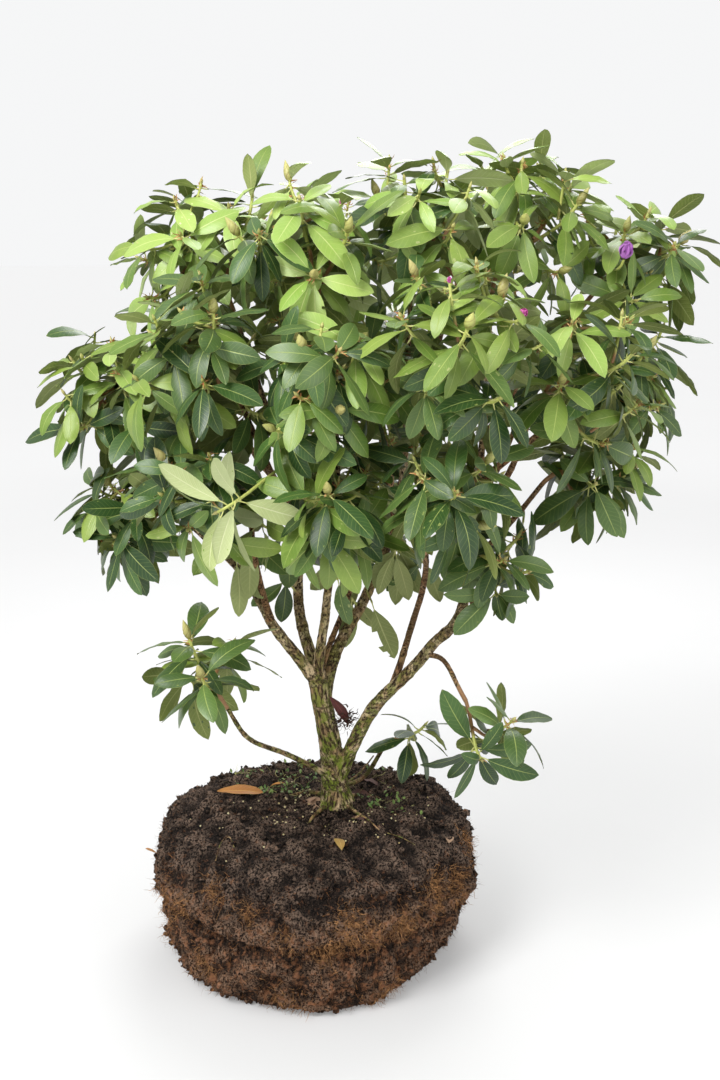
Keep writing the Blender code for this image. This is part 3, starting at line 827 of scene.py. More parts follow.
fine_bunches = []
for number, bunch in enumerate(bunches):
    mass, space = bunch.mass, bunch.space
    rng = random.Random(SIDE_SEED + number)
    wanted = round(SIDE_TWIGS * len(bunch.shoots)) if mass.shoots > 3 else min(1, mass.shoots - 1)
    tips = pick_tips(mass, space, bunch.hub, wanted, SIDE_DEPTHS, taken, rng, [])
    side_shoots = []
    for tip in tips:
        start = side_start(tip, bunch.hub, bunch.shoots)
        face = whorl_facing((tip - start).normalized(), tip, space)
        side = Shoot(start, tip, face, False)
        if not touches(plain_twig(side), limb_trees):
            side_shoots.append(side)
    fine_bunches.append(side_shoots)
print("side twigs", sum(map(len, fine_bunches)))

# %% [markdown]
# A few places in the middle and low in the crown show leaves where the search left a hole. Each gets
# a twig from the nearest shoot of the mass that it lies in, so the growth stays one rule.

# %% Twigs in the holes
HOLES = (
    (-0.010, -0.15, 0.801), (0.070, -0.15, 0.812), (0.150, -0.15, 0.825), (0.030, -0.10, 0.830),
    (0.110, -0.08, 0.800), (0.190, -0.12, 0.800), (-0.080, -0.10, 0.840), (0.000, 0.00, 0.800),
    (0.120, 0.02, 0.780), (0.240, -0.05, 0.800), (0.220, 0.02, 0.840), (0.100, 0.07, 0.590),
    (0.050, 0.06, 0.605), (-0.075, -0.15, 0.700), (-0.045, -0.15, 0.690), (0.020, -0.13, 0.700),
    (0.100, -0.16, 0.760), (0.130, -0.17, 0.720), (0.060, 0.10, 0.760), (0.160, 0.12, 0.770),
    (-0.050, 0.05, 0.860), (0.050, 0.05, 0.880), (0.170, 0.05, 0.900), (0.280, 0.05, 0.830),
    (0.210, -0.17, 0.850), (-0.05, -0.12, 0.969), (-0.014, -0.12, 0.94), (-0.033, -0.05, 0.992),
    (-0.065, -0.06, 0.931), (-0.160, -0.10, 0.820), (-0.060, -0.18, 0.850), (0.290, -0.12, 0.800),
    (0.100, -0.20, 0.860), (0.040, -0.20, 0.830),
)


def mass_at(point):
    """The number of the mass that a point lies deepest in."""
    depths = [(point - bunch.space.middle).length / bunch.space.reach for bunch in bunches]
    return depths.index(min(depths))


grown = 0
for hole in map(Vector, HOLES):
    number = mass_at(hole)
    bunch = bunches[number]
    start = side_start(hole, bunch.hub, bunch.shoots)
    side = Shoot(start, hole, whorl_facing((hole - start).normalized(), hole, bunch.space), False)
    if not touches(plain_twig(side), limb_trees):
        fine_bunches[number].append(side)
        grown += 1
print("twigs in holes", grown)

# %% [markdown]
# ## Bark
#
# The stems of an old rhododendron are grey-brown and fissured. Low down green algae fill the cracks,
# and higher up the bark turns reddish. The thick stems are joined into one skin by a voxel remesh,
# which rounds the forks as wood does, and then pushed in and out for the fissures. Overlapping tubes
# would leave hard creases at every fork. The thin boughs are plain tubes with a swollen collar,
# because a remesh fine enough for them would be needlessly heavy.

# %% Stem lines with a natural wander
THICK_STEMS = (
    "trunk", "stem_right", "bough_left", "bough_left_upright",
    "bough_front", "bough_centre", "bough_low_left",
)
FINE_STEP = 0.005
WANDER = 0.0030
WANDER_SEED = 7
LUMPINESS = 0.05
COLLAR = 0.40
COLLAR_LENGTH = 0.012
SCAR_SPACING = 0.085
SCAR_SWELL = 0.13


def wander(path, seed, amount):
    """The path with slow sideways bends that vanish at its two ends."""
    last = len(path) - 1
    moved = []
    for i, point in enumerate(path):
        ends = math.sin(math.pi * i / last)
        shift = noise.noise_vector(point * 14 + Vector((seed, 0, 0)))
        moved.append(point + amount * ends * shift)
    return moved


def natural_limb(name, seed):
    """A limb's path and radii in fine steps, with a collar at its foot and swollen leaf scars."""
    if name == "trunk":
        path = smooth_line(TRUNK_KNOTS, FINE_STEP)
        return path, [trunk_radius(i / (len(path) - 1), point.z) for i, point in enumerate(path)]
    radius = next(limb.radius for limb in LIMBS if limb.name == name)
    path, radii = bough_line(knots_of[name], radius, FINE_STEP)
    shaped = []
    for i, plain in enumerate(radii):
        run = i * FINE_STEP
        collar = COLLAR * math.exp(-run / COLLAR_LENGTH)
        ring = abs((run / SCAR_SPACING + 0.37 * seed) % 1.0 - 0.5) * 2
        scar = SCAR_SWELL * max(0.0, 1 - (1 - ring) * 9)
        lump = LUMPINESS * noise.noise(Vector((run * 60, seed, 0.5)))
        shaped.append(plain * (1 + collar + scar + lump))
    return wander(path, seed, WANDER), shaped


# Without a seed, noise_vector takes its offsets from the clock.
noise.seed_set(WANDER_SEED)
natural = {name: natural_limb(name, number) for number, name in enumerate(lines)}
print("fine rings", sum(len(path) for path, _ in natural.values()))

# %% [markdown]
# ## One skin for the thick stems
#
# The relief needs to know which way the wood runs, because fissures follow the grain. So every point
# of the skin finds the nearest step of a stem, and stores a grain place: its own position, squeezed
# along the stem. Noise read at that place comes out stretched along the wood.

# %% The stems
SKIN_VOXEL = 0.0020
SKIN_SIDES = 20
GRAIN_SQUEEZE = 0.80
FISSURE_DEPTH = 0.085


def remeshed_skin(names):
    """The outer skin of these limbs, joined by a voxel remesh and slightly smoothed."""
    mesh = bpy.data.meshes.new("stems")
    points, faces = [], []
    for name in names:
        path, radii = natural[name]
        tube_points, tube_faces = tube(path, radii, SKIN_SIDES, UP if name == "trunk" else None)
        faces += [tuple(index + len(points) for index in face) for face in tube_faces]
        points += tube_points
    mesh.from_pydata([tuple(p) for p in points], [], faces)
    holder = bpy.data.objects.new("stems_rough", mesh)
    scene.collection.objects.link(holder)
    remesh = holder.modifiers.new("skin", "REMESH")
    remesh.mode = "VOXEL"
    remesh.voxel_size = SKIN_VOXEL
    smooth = holder.modifiers.new("rounded", "SMOOTH")
    smooth.factor = 0.5
    smooth.iterations = 4
    graph = bpy.context.evaluated_depsgraph_get()
    skin = bpy.data.meshes.new_from_object(holder.evaluated_get(graph))
    bpy.data.objects.remove(holder)
    return skin


def stem_steps(names):
    """A search tree of the stems' steps, with the direction and radius at each."""
    steps = []
    for name in names:
        path, radii = natural[name]
        steps += list(zip(path, tangents(path), radii))
    tree = KDTree(len(steps))
    for index, (point, _, _) in enumerate(steps):
        tree.insert(point, index)
    tree.balance()
    return tree, steps


def grain_place(point, direction):
    """A point squeezed along the wood."""
    return point - GRAIN_SQUEEZE * point.dot(direction) * direction


def fissures(place):
    """Ridges at 1 and cracks near 0, in two sizes."""
    coarse = abs(noise.noise(place * 230))
    fine = abs(noise.noise(place * 520 + Vector((7, 3, 1))))
    return min(1.0, 2.2 * coarse) * 0.7 + min(1.0, 2.5 * fine) * 0.3


stems_mesh = remeshed_skin(THICK_STEMS)
step_tree, steps = stem_steps(THICK_STEMS)
skin = [(vertex.co.copy(), vertex.normal.copy()) for vertex in stems_mesh.vertices]
grain, pushed = [], []
for point, normal in skin:
    _, index, _ = step_tree.find(point)
    _, direction, radius = steps[index]
    place = grain_place(point, direction)
    depth = FISSURE_DEPTH * radius * (fissures(place) - 0.55)
    lump = LUMPINESS * radius * noise.noise(point * 60)
    pushed.append(point + normal * (depth + lump))
    grain.append(place)
stems_mesh.vertices.foreach_set("co", np.array(pushed, dtype=np.float32).ravel())
grain_values = stems_mesh.attributes.new("grain", "FLOAT_VECTOR", "POINT")
grain_values.data.foreach_set("vector", np.array(grain, dtype=np.float32).ravel())
stems_mesh.shade_smooth()
stems = show_piece("stems", stems_mesh)
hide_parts(*THICK_STEMS)

# %% The thin boughs
THIN_SIDES = 10

thin_names = [name for name in lines if name not in THICK_STEMS]
boughs_shape = Shape()
for name in thin_names:
    path, radii = natural[name]
    points, faces = open_rings(path, radii, THIN_SIDES)
    directions = tangents(path)
    places, moved = [], []
    for index, point in enumerate(points):
        ring = index // THIN_SIDES
        place = grain_place(point, directions[ring])
        outwards = (point - path[ring]).normalized()
        moved.append(point + outwards * FISSURE_DEPTH * radii[ring] * (fissures(place) - 0.5))
        places.append(place)
    boughs_shape.add(moved, faces, places)
print("thin boughs", len(thin_names))

# %% [markdown]
# ## The finish of the bark
#
# Bark is ridges and cracks in different browns. One node group turns the stored grain place into a
# mask of cracks, used by the stems and by the thinner boughs, each with its own colours. Algae are
# green, sit on the ridges, and fade out with height, so they follow the plant's own Z.

# %% Bark group
def make_bark_group():
    """Cracks along the grain: a colour and a height."""
    inputs = {
        "Ridge": (0.3, 0.24, 0.16, 1),
        "Pale": (0.45, 0.38, 0.26, 1),
        "Crack": (0.07, 0.045, 0.025, 1),
        "Algae": (0.12, 0.14, 0.03, 1),
        "Algae top": 0.5,
    }
    tree, given, result = new_group("Bark along the grain", inputs, {"Color": "Color", "Height": "Float"})
    grain_at = stored(tree, "grain")[0]
    broad = noise_value(tree, grain_at, 260.0, 4.0, 0.6)
    fine = noise_value(tree, grain_at, 900.0, 3.0, 0.6)
    patch = noise_value(tree, grain_at, 45.0, 2.0)
    both = plus(tree, times(tree, broad, 0.7), times(tree, fine, 0.3))
    ridges = ramp(tree, both, 0.42, 0.54)
    wood = blend(tree, ramp(tree, patch, 0.44, 0.62), given["Ridge"], given["Pale"])
    spot = own_place(tree)
    level = add_node(tree, "SeparateXYZ", spot, out=2)
    low = minus(tree, 1.0, ramp(tree, level, 0.30, given["Algae top"]))
    film = ramp(tree, noise_value(tree, spot, 70.0, 4.0, 0.65), 0.40, 0.58)
    green = blend(tree, times(tree, low, film, clamp=True), wood, given["Algae"])
    tree.links.new(blend(tree, ridges, given["Crack"], green), result["Color"])
    tree.links.new(ridges, result["Height"])
    return tree


def bark_finish(name, ridge, pale, crack, algae, algae_top):
    """A bark material with its own colours."""
    finish, tree, inputs = new_finish(name, roughness=0.85, Specular_IOR_Level=0.25)
    colours = {"Ridge": ridge, "Pale": pale, "Crack": crack, "Algae": algae, "Algae_top": algae_top}
    bark = use_group(tree, bark_group, **colours)
    tree.links.new(bark["Color"], inputs["Base Color"])
    relief(tree, inputs, bark["Height"], 0.0014, 1.0)
    return finish


bark_group = make_bark_group()
old_bark = bark_finish(
    "old bark", (0.33, 0.215, 0.105), (0.64, 0.49, 0.29), (0.040, 0.024, 0.012), (0.165, 0.205, 0.026), 0.70
)
young_bark = bark_finish(
    "young bark", (0.32, 0.170, 0.08), (0.52, 0.33, 0.18), (0.055, 0.028, 0.013), (0.15, 0.16, 0.04), 0.62
)
stems.data.materials.append(old_bark)
boughs = boughs_shape.piece("boughs", young_bark, key="grain")
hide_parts(*thin_names)

# %% [markdown]
# ## Twigs
#
# A rhododendron grows in yearly steps. Each step starts green, and turns orange-brown and then grey
# as it ages. A twig is therefore a curved tube that leaves its parent the way the parent runs, and
# turns up to the light where its whorl sits. An age stored along it drives the colour, so one
# material covers old and young wood. One twig at the left is placed as given, for the pale whorl
# that turns its undersides to the light.

# %% Twig curves
TWIG_STEPS = 9
TWIG_RING_SIDES = 6
LIGHT_LEAN = 0.55
SIDE_RADII = (0.0021, 0.0018)
MAIN_AGES = (0.1, 1.0)
SIDE_AGES = (0.3, 1.4)


def bent_twig(start, start_way, tip, tip_way):
    """Points on a curve that leaves along start_way and arrives along tip_way."""
    reach = (tip - start).length
    first = start + 0.35 * reach * start_way
    second = tip - 0.38 * reach * tip_way
    points = []
    for i in range(TWIG_STEPS + 1):
        t = i / TWIG_STEPS
        u = 1 - t
        points.append(u**3 * start + 3 * u * u * t * first + 3 * u * t * t * second + t**3 * tip)
    return points


def add_twig(shape, line, radii, ages):
    """Adds a twig to a shape. Its radius and its age run evenly from the first value to the second."""
    steps = range(TWIG_STEPS + 1)
    widths = [radii[0] + (radii[1] - radii[0]) * i / TWIG_STEPS for i in steps]
    points, faces = open_rings(line, widths, TWIG_RING_SIDES)
    marks = [ages[0] + (ages[1] - ages[0]) * i / TWIG_STEPS for i in steps]
    shape.add(points, faces, [(mark, 0.0, 0.0) for mark in marks for _ in range(TWIG_RING_SIDES)])


print("twig steps", TWIG_STEPS)

# %% The twigs
class Twig(NamedTuple):
    """A finished twig: its points, the whorl's facing, its shoot, and its kind."""

    points: list
    facing: Vector
    shoot: Shoot
    bunch: Bunch
    main: bool
    budded: bool


PALE_START = Vector((-0.030, -0.235, 0.790))
PALE_TIP = Vector((-0.106, -0.300, 0.744))
PALE_FACING = Vector((-0.70, 0.42, -0.40)).normalized()

twig_shape = Shape()
pale_line = bent_twig(PALE_START, (PALE_TIP - PALE_START).normalized(), PALE_TIP, PALE_FACING)
add_twig(twig_shape, pale_line, (0.0022, 0.0022), (1.4, 1.4))
pale_shoot = Shoot(PALE_START, PALE_TIP, PALE_FACING, False)
pale_bunch = next(bunch for bunch in bunches if bunch.mass.name == "foliage_left_front")
twigs = [Twig(pale_line, PALE_FACING, pale_shoot, pale_bunch, True, False)]
for bunch, side_shoots in zip(bunches, fine_bunches):
    parent_way = (bunch.hub - bunch.foot).normalized()
    stalk = bent_twig(bunch.foot, bunch.way, bunch.hub, parent_way)
    add_twig(twig_shape, stalk, [BOUGH_TIP_RADIUS] * 2, (0.0, 0.0))
    marked = [(shoot, True, bud) for shoot, bud in zip(bunch.shoots, bunch.buds)]
    marked += [(shoot, False, False) for shoot in side_shoots]
    for shoot, main, budded in marked:
        way = (shoot.tip - shoot.start).normalized()
        leaving = (way + 0.5 * parent_way).normalized()
        arriving = (0.55 * way + 0.45 * shoot.facing + LIGHT_LEAN * UP).normalized()
        line = bent_twig(shoot.start, leaving, shoot.tip, arriving)
        radii = (FORK_RADIUS, SHOOT_RADIUS) if main else SIDE_RADII
        add_twig(twig_shape, line, radii, MAIN_AGES if main else SIDE_AGES)
        twigs.append(Twig(line, arriving, shoot, bunch, main, budded))
print("whorls", len(twigs))

# %% The finish of the twigs
twig_skin, tree, inputs = new_finish("twig skin", roughness=0.5)
age = stored(tree, "place")[1]
spot = own_place(tree)
streaks = noise_value(tree, spot, 260.0, 3.0)
patches = noise_value(tree, spot, 22.0, 2.0)
patchy_age = plus(tree, age, times(tree, minus(tree, patches, 0.5), 1.3))
brown = blend(tree, streaks, (0.23, 0.105, 0.04), (0.42, 0.23, 0.10))
green = blend(tree, streaks, (0.36, 0.41, 0.08), (0.54, 0.57, 0.16))
tree.links.new(blend(tree, ramp(tree, patchy_age, 0.35, 0.70), brown, green), inputs["Base Color"])
relief(tree, inputs, streaks, 0.0006, 0.6)
twig_piece = twig_shape.piece("twigs", twig_skin)

# %% [markdown]
# ## Where each leaf goes
#
# Leaves wind up the last few centimetres of a shoot by the golden angle. The old ones at the bottom
# spread and droop, and the young ones at the top rise. Each whorl also has a mood, hanging or
# lifted, so that no two look alike. As in the source, a leaf tries its own direction first and then
# a few others, until it keeps to its mass and clear of limbs and of other blades. The test uses a
# light stand-in of eight faces, kept in a coarse grid, because it runs thousands of times.

# %% Leaf rule
LEAVES_ON_MAIN = 10
LEAVES_ON_SIDE = 8
GOLDEN_ANGLE = math.pi * (3 - math.sqrt(5))
WHORL_STEP = 0.0034
WHORL_TOP = 0.002
OLD_LEAF_RISE = -0.80
YOUNG_LEAF_RISE = 0.50
WHORL_MOODS = (-0.45, 0.45)
PALE_MOOD = 0.35
LEADER_LEAF_RISE = 3.5
LEADER_GROWTH = 1.15
PALE_GROWTH = 1.18
RISE_SPREAD = 0.30
TURN_SPREAD = 0.25
BLADE_ROLL = 0.55
LEAF_WEIGHT = 0.24
LEAF_SIZES = (0.70, 1.12)
LEAF_SLIMNESS = (0.72, 0.96)
SIDE_GROWTH = 0.92
YOUNG_LEAF_SHRINK = 0.12
NEAR_CELL = 0.11
OTHER_RISES = (0.0, -0.35, 0.35, -0.7, 0.7)
OTHER_SWINGS = (0.0, 0.3, -0.3)
BLADE_START = 0.12
REACH_SPARE = 0.012
LEAF_SEED = 9000


def stand_in_leaf(root, along_leaf, across, length, width):
    """The solid model's leaf of 8 faces."""
    up = along_leaf.cross(across).normalized()
    half = width / 2
    points = [
        root + BLADE_START * length * along_leaf,
        root + 0.40 * length * along_leaf + half * across + 0.03 * length * up,
        root + 0.76 * length * along_leaf + 0.84 * half * across + 0.015 * length * up,
        root + length * along_leaf - 0.035 * length * up,
        root + 0.76 * length * along_leaf - 0.84 * half * across + 0.015 * length * up,
        root + 0.40 * length * along_leaf - half * across + 0.03 * length * up,
    ]
    faces = [(0, 5, 1), (5, 4, 2), (5, 2, 1), (4, 3, 2), (0, 1, 3), (1, 2, 3), (3, 4, 5), (3, 5, 0)]
    return points, faces


class Leaf(NamedTuple):
    """A placed leaf: its root, directions and size, and the twig whose whorl it belongs to."""

    root: Vector
    way: Vector
    across: Vector
    length: float
    width: float
    twig: Twig = None


def cell_of(point):
    """The cell of a coarse grid that a point lies in."""
    return tuple(int(math.floor(value / NEAR_CELL)) for value in point)


def near_blades(point, grid):
    """The blades in the cells round a point."""
    x, y, z = cell_of(point)
    found = []
    for dx, dy, dz in itertools.product((-1, 0, 1), repeat=3):
        found += grid.get((x + dx, y + dy, z + dz), ())
    return found


def try_leaf(root, ways, length, width, twig, grid):
    """The first of these ways in which the leaf is within reach and clear of limbs and blades."""
    space = twig.bunch.space
    free = twig.shoot.leader or twig.facing == PALE_FACING
    for way, across in ways:
        points, faces = stand_in_leaf(root, way, across, length, width)
        if not free and max((point - space.middle).length for point in points) > space.reach + REACH_SPARE:
            continue
        tree = BVHTree.FromPolygons(points, faces)
        middle = points[0].lerp(points[3], 0.5)
        if any(tree.overlap(other) for other in limb_trees + near_blades(middle, grid)):
            continue
        grid.setdefault(cell_of(middle), []).append(tree)
        return Leaf(root, way, across, length, width, twig)
    return None


def leaves_of(twig, rng, grid):
    """The leaves of one whorl, oldest first."""
    leader, pale = twig.shoot.leader, twig.facing == PALE_FACING
    facing = UP if leader else twig.facing
    side = facing.orthogonal().normalized()
    across = facing.cross(side)
    count = LEAVES_ON_MAIN if twig.main else LEAVES_ON_SIDE
    growth = 1.0 if twig.main else SIDE_GROWTH
    phase = rng.uniform(0, 2 * math.pi)
    mood = 0 if leader else rng.uniform(*WHORL_MOODS)
    mood = PALE_MOOD if pale else mood
    placed = []
    for k in range(count):
        rank = k / (count - 1)
        turn = phase + k * GOLDEN_ANGLE + rng.uniform(-TURN_SPREAD, TURN_SPREAD)
        length = LEAF_LENGTH * rng.uniform(*LEAF_SIZES) * growth * (1 - YOUNG_LEAF_SHRINK * rank)
        width = LEAF_WIDTH * length / LEAF_LENGTH * rng.uniform(*LEAF_SLIMNESS)
        rise = OLD_LEAF_RISE + (YOUNG_LEAF_RISE - OLD_LEAF_RISE) * rank + mood
        rise += rng.uniform(-RISE_SPREAD, RISE_SPREAD)
        if pale:
            length *= PALE_GROWTH
        if leader and k >= count - 2:
            rise = LEADER_LEAF_RISE
            length *= LEADER_GROWTH
        roll = rng.uniform(-BLADE_ROLL, BLADE_ROLL)
        back = WHORL_TOP + WHORL_STEP * (count - 1 - k)
        root = twig.points[-1] - back * (twig.points[-1] - twig.points[-3]).normalized()
        ways = []
        for other_rise, swing in itertools.product(OTHER_RISES, OTHER_SWINGS):
            flat = swung(turn + swing, side, across)
            way = (flat + (rise + other_rise) * facing - LEAF_WEIGHT * UP).normalized()
            level = facing.cross(way).normalized()
            ways.append((way, swung(roll, level, way.cross(level))))
        leaf = try_leaf(root, ways, length, width, twig, grid)
        if leaf:
            placed.append(leaf)
    return placed


# %% Placing the leaves
leaves = []
blade_grid = {}
for number, twig in enumerate(twigs):
    leaves += leaves_of(twig, random.Random(LEAF_SEED + number), blade_grid)
print("leaves", len(leaves))

# %% [markdown]
# ## The shape of a leaf
#
# A rhododendron leaf is a long oval, widest past its middle, with a short point. Its halves rise a
# little from the midrib, and its edges roll under. The blade arches along its length and hangs at
# the tip. Every leaf here is a small grid bent by those rules, with an upper and a lower skin, because
# the two sides differ in colour: a picture on one sheet could not show both.

# %% Leaf grids
BLADE_ROWS = 10
BLADE_COLUMNS = 5
OUTLINE_AT = (0.0, 0.06, 0.15, 0.30, 0.45, 0.58, 0.72, 0.85, 0.94, 1.0)
OUTLINE_WIDTH = (0.05, 0.22, 0.48, 0.80, 0.97, 1.0, 0.90, 0.66, 0.38, 0.02)
SKIN_THICKNESS = 0.0004


def leaf_frames(batch, rng):
    """Arrays of the batch's directions and of its seeded bends."""
    roots = np.array([leaf.root for leaf in batch])
    ways = np.array([leaf.way for leaf in batch])
    across = np.array([leaf.across for leaf in batch])
    ups = np.cross(ways, across)
    lengths = np.array([leaf.length for leaf in batch])
    widths = np.array([leaf.width for leaf in batch])
    count = len(batch)
    bends = {
        "arch": rng.uniform(0.15, 0.75, count),
        "keel": rng.uniform(0.02, 0.26, count),
        "roll": rng.uniform(0.05, 0.30, count),
        "twist": rng.uniform(-0.35, 0.35, count),
        "wave": rng.uniform(0.0, 0.0011, count),
        "phase": rng.uniform(0, 6.28, count),
        "sweep": rng.uniform(-0.10, 0.10, count),
        "tone": rng.uniform(0, 1, count),
    }
    return roots, ways, across, ups, lengths, widths, bends


def blade_points(frames):
    """The upper skin's points as (leaf, row, column, xyz), their normals, and each point's place."""
    roots, ways, across, ups, lengths, widths, bends = frames
    spread = np.linspace(0, 1, BLADE_ROWS)
    spread = spread - 0.06 * np.sin(2 * np.pi * spread)
    columns = np.array([-1, -0.52, 0, 0.52, 1.0])
    half = np.interp(spread, OUTLINE_AT, OUTLINE_WIDTH)[None, :] * widths[:, None] / 2
    blade = lengths * (1 - BLADE_START)
    arch = bends["arch"][:, None]
    slope = 0.10 + 0.35 * arch - arch * spread[None, :] * 1.5
    step = np.diff(spread, prepend=0)[None, :] * blade[:, None]
    ahead = BLADE_START * lengths[:, None] + np.cumsum(step * np.cos(slope), axis=1)
    above = np.cumsum(step * np.sin(slope), axis=1)
    turn = bends["twist"][:, None] * spread[None, :]
    v = columns[None, None, :]
    wide = half[:, :, None] * v
    keel = bends["keel"][:, None, None] * np.abs(wide)
    roll = bends["roll"][:, None, None] * half[:, :, None] * np.abs(v) ** 3
    phase = bends["phase"][:, None, None]
    wave = bends["wave"][:, None, None] * np.sin(spread[None, :, None] * 16 + phase + 1.7 * v) * np.abs(v)
    lift = keel - roll + wave
    sideways = wide * np.cos(turn)[:, :, None] - lift * np.sin(turn)[:, :, None]
    sideways = sideways + (bends["sweep"][:, None] * spread[None, :] ** 2 * blade[:, None])[:, :, None]
    upward = wide * np.sin(turn)[:, :, None] + lift * np.cos(turn)[:, :, None] + above[:, :, None]
    shape = np.broadcast_shapes(sideways.shape, upward.shape)
    forward = np.broadcast_to(ahead[:, :, None], shape)
    local = [part[..., None] for part in (forward, sideways, upward)]
    points = roots[:, None, None, :] + local[0] * ways[:, None, None, :]
    points = points + local[1] * across[:, None, None, :] + local[2] * ups[:, None, None, :]
    rows = np.gradient(points, axis=1)
    cols = np.gradient(points, axis=2)
    normals = np.cross(rows, cols)
    normals /= np.linalg.norm(normals, axis=-1, keepdims=True) + 1e-12
    places = np.zeros(shape + (3,))
    places[..., 0] = spread[None, :, None]
    places[..., 1] = v
    places[..., 2] = bends["tone"][:, None, None]
    return points, normals, places


def skin_faces(count, flip):
    """The 4-sided faces of count leaf grids."""
    faces = []
    for row in range(BLADE_ROWS - 1):
        for column in range(BLADE_COLUMNS - 1):
            a = row * BLADE_COLUMNS + column
            face = (a, a + 1, a + BLADE_COLUMNS + 1, a + BLADE_COLUMNS)
            faces.append(face if flip else face[::-1])
    one = np.array(faces)
    starts = np.arange(count)[:, None, None] * BLADE_ROWS * BLADE_COLUMNS
    return (one[None] + starts).reshape(-1, 4)


def stalk_tubes(frames, shape):
    """Adds each leaf's stalk, from its twig into the foot of its blade."""
    roots, ways, across, ups, lengths, widths, bends = frames
    for root, way, side, up, length, arch in zip(roots, ways, across, ups, lengths, bends["arch"]):
        slope = 0.10 + 0.35 * arch
        end = root + 1.25 * BLADE_START * length * way + 0.25 * BLADE_START * length * math.sin(slope) * up
        middle = root + 0.6 * BLADE_START * length * way - 0.0008 * up
        line = [Vector(root - 0.0015 * way), Vector(middle), Vector(end - 0.0006 * up)]
        points, faces = open_rings(line, (0.0014, 0.0011, 0.0009), 4)
        shape.add(points, faces, [(0.5, 0.0, 0.0)] * len(points))


print("leaf grid", BLADE_ROWS, "by", BLADE_COLUMNS)

# %% [markdown]
# ## The finish of a leaf
#
# The upper side is a glossy dark green with a pale midrib, faint side veins and a thin pale margin.
# The lower side is matt, pale olive, with a raised yellow midrib. One node group reads the place
# stored on each point, which runs from stalk to tip, from edge to edge, and adds a tone for each leaf.
# Both sides and all tints use it with their own colours, and so do petals and dead leaves.

# %% Leaf group
def make_leaf_group():
    """Midrib, veins, margin and mottling: a colour, a height and a roughness."""
    inputs = {
        "Deep": (0.03, 0.08, 0.03, 1),
        "Light": (0.06, 0.14, 0.05, 1),
        "Rib": (0.35, 0.42, 0.12, 1),
        "Rib width": 0.07,
        "Vein": 0.15,
        "Roughness": 0.36,
    }
    outputs = {"Color": "Color", "Height": "Float", "Roughness": "Float"}
    tree, given, result = new_group("Leaf skin", inputs, outputs)
    run, across, tone = stored(tree, "leaf_place")[1:]
    side = maths(tree, "ABSOLUTE", across)
    spot = own_place(tree)
    cloud = noise_value(tree, spot, 55.0, 4.0, 0.6)
    speck = noise_value(tree, spot, 420.0, 2.0)
    shade = plus(tree, times(tree, tone, 0.75), times(tree, cloud, 0.55))
    blade = blend(tree, ramp(tree, shade, 0.15, 1.15, False), given["Deep"], given["Light"])
    slant = minus(tree, times(tree, run, 11.0), times(tree, side, 1.8))
    cycle = maths(tree, "ABSOLUTE", minus(tree, maths(tree, "FRACT", slant), 0.5))
    vein = times(tree, minus(tree, 1.0, ramp(tree, cycle, 0.0, 0.10)), given["Vein"])
    rib = minus(tree, 1.0, ramp(tree, side, 0.0, given["Rib width"]))
    fading_rib = times(tree, rib, minus(tree, 1.0, times(tree, run, 0.55)))
    margin = times(tree, ramp(tree, side, 0.94, 1.0), 0.45)
    pale_lines = maths(tree, "MAXIMUM", maths(tree, "MAXIMUM", vein, fading_rib), margin, clamp=True)
    tree.links.new(blend(tree, pale_lines, blade, given["Rib"]), result["Color"])
    pillows = times(tree, maths(tree, "ABSOLUTE", minus(tree, cycle, 0.25)), -2.0)
    bumps = plus(tree, pillows, times(tree, speck, 0.35))
    tree.links.new(minus(tree, bumps, rib), result["Height"])
    uneven = times(tree, minus(tree, cloud, 0.5), 0.25)
    tree.links.new(plus(tree, given["Roughness"], uneven), result["Roughness"])
    return tree


leaf_group = make_leaf_group()


def leaf_finish(name, bump, deep, light, rib, **values):
    """A leaf material with its own colours."""
    finish, tree, inputs = new_finish(name)
    skin = use_group(tree, leaf_group, Deep=deep, Light=light, Rib=rib, **values)
    tree.links.new(skin["Color"], inputs["Base Color"])
    tree.links.new(skin["Roughness"], inputs["Roughness"])
    relief(tree, inputs, skin["Height"], 0.0004, bump)
    return finish


# %% Leaf finishes
PALE_RIB = (0.40, 0.47, 0.13)
UPPER_TINTS = {
    # bump, deep, light, rib
    "deep": (0.5, (0.008, 0.030, 0.007), (0.062, 0.135, 0.026), PALE_RIB),
    "dark": (0.5, (0.022, 0.055, 0.014), (0.118, 0.200, 0.044), PALE_RIB),
    "fresh": (0.5, (0.066, 0.142, 0.018), (0.250, 0.345, 0.060), PALE_RIB),
    "bright": (0.4, (0.20, 0.34, 0.05), (0.37, 0.50, 0.12), (0.6, 0.65, 0.26)),
}
LOWER_TINTS = {
    "dark": (0.9, (0.13, 0.175, 0.035), (0.26, 0.31, 0.075), (0.50, 0.52, 0.20)),
    "fresh": (0.9, (0.22, 0.27, 0.075), (0.36, 0.41, 0.15), (0.60, 0.62, 0.27)),
    "bright": (0.7, (0.42, 0.49, 0.19), (0.62, 0.69, 0.36), (0.76, 0.79, 0.48)),
}
LOWER = {"Rib_width": 0.10, "Vein": 0.28, "Roughness": 0.62}
upper_finishes = {tint: leaf_finish("leaf " + tint, *values) for tint, values in UPPER_TINTS.items()}
lower_finishes = {
    tint: leaf_finish("underside " + tint, *values, **LOWER) for tint, values in LOWER_TINTS.items()
}
lower_finishes["deep"] = lower_finishes["dark"]
print("leaf finishes", len(UPPER_TINTS) + len(LOWER_TINTS))
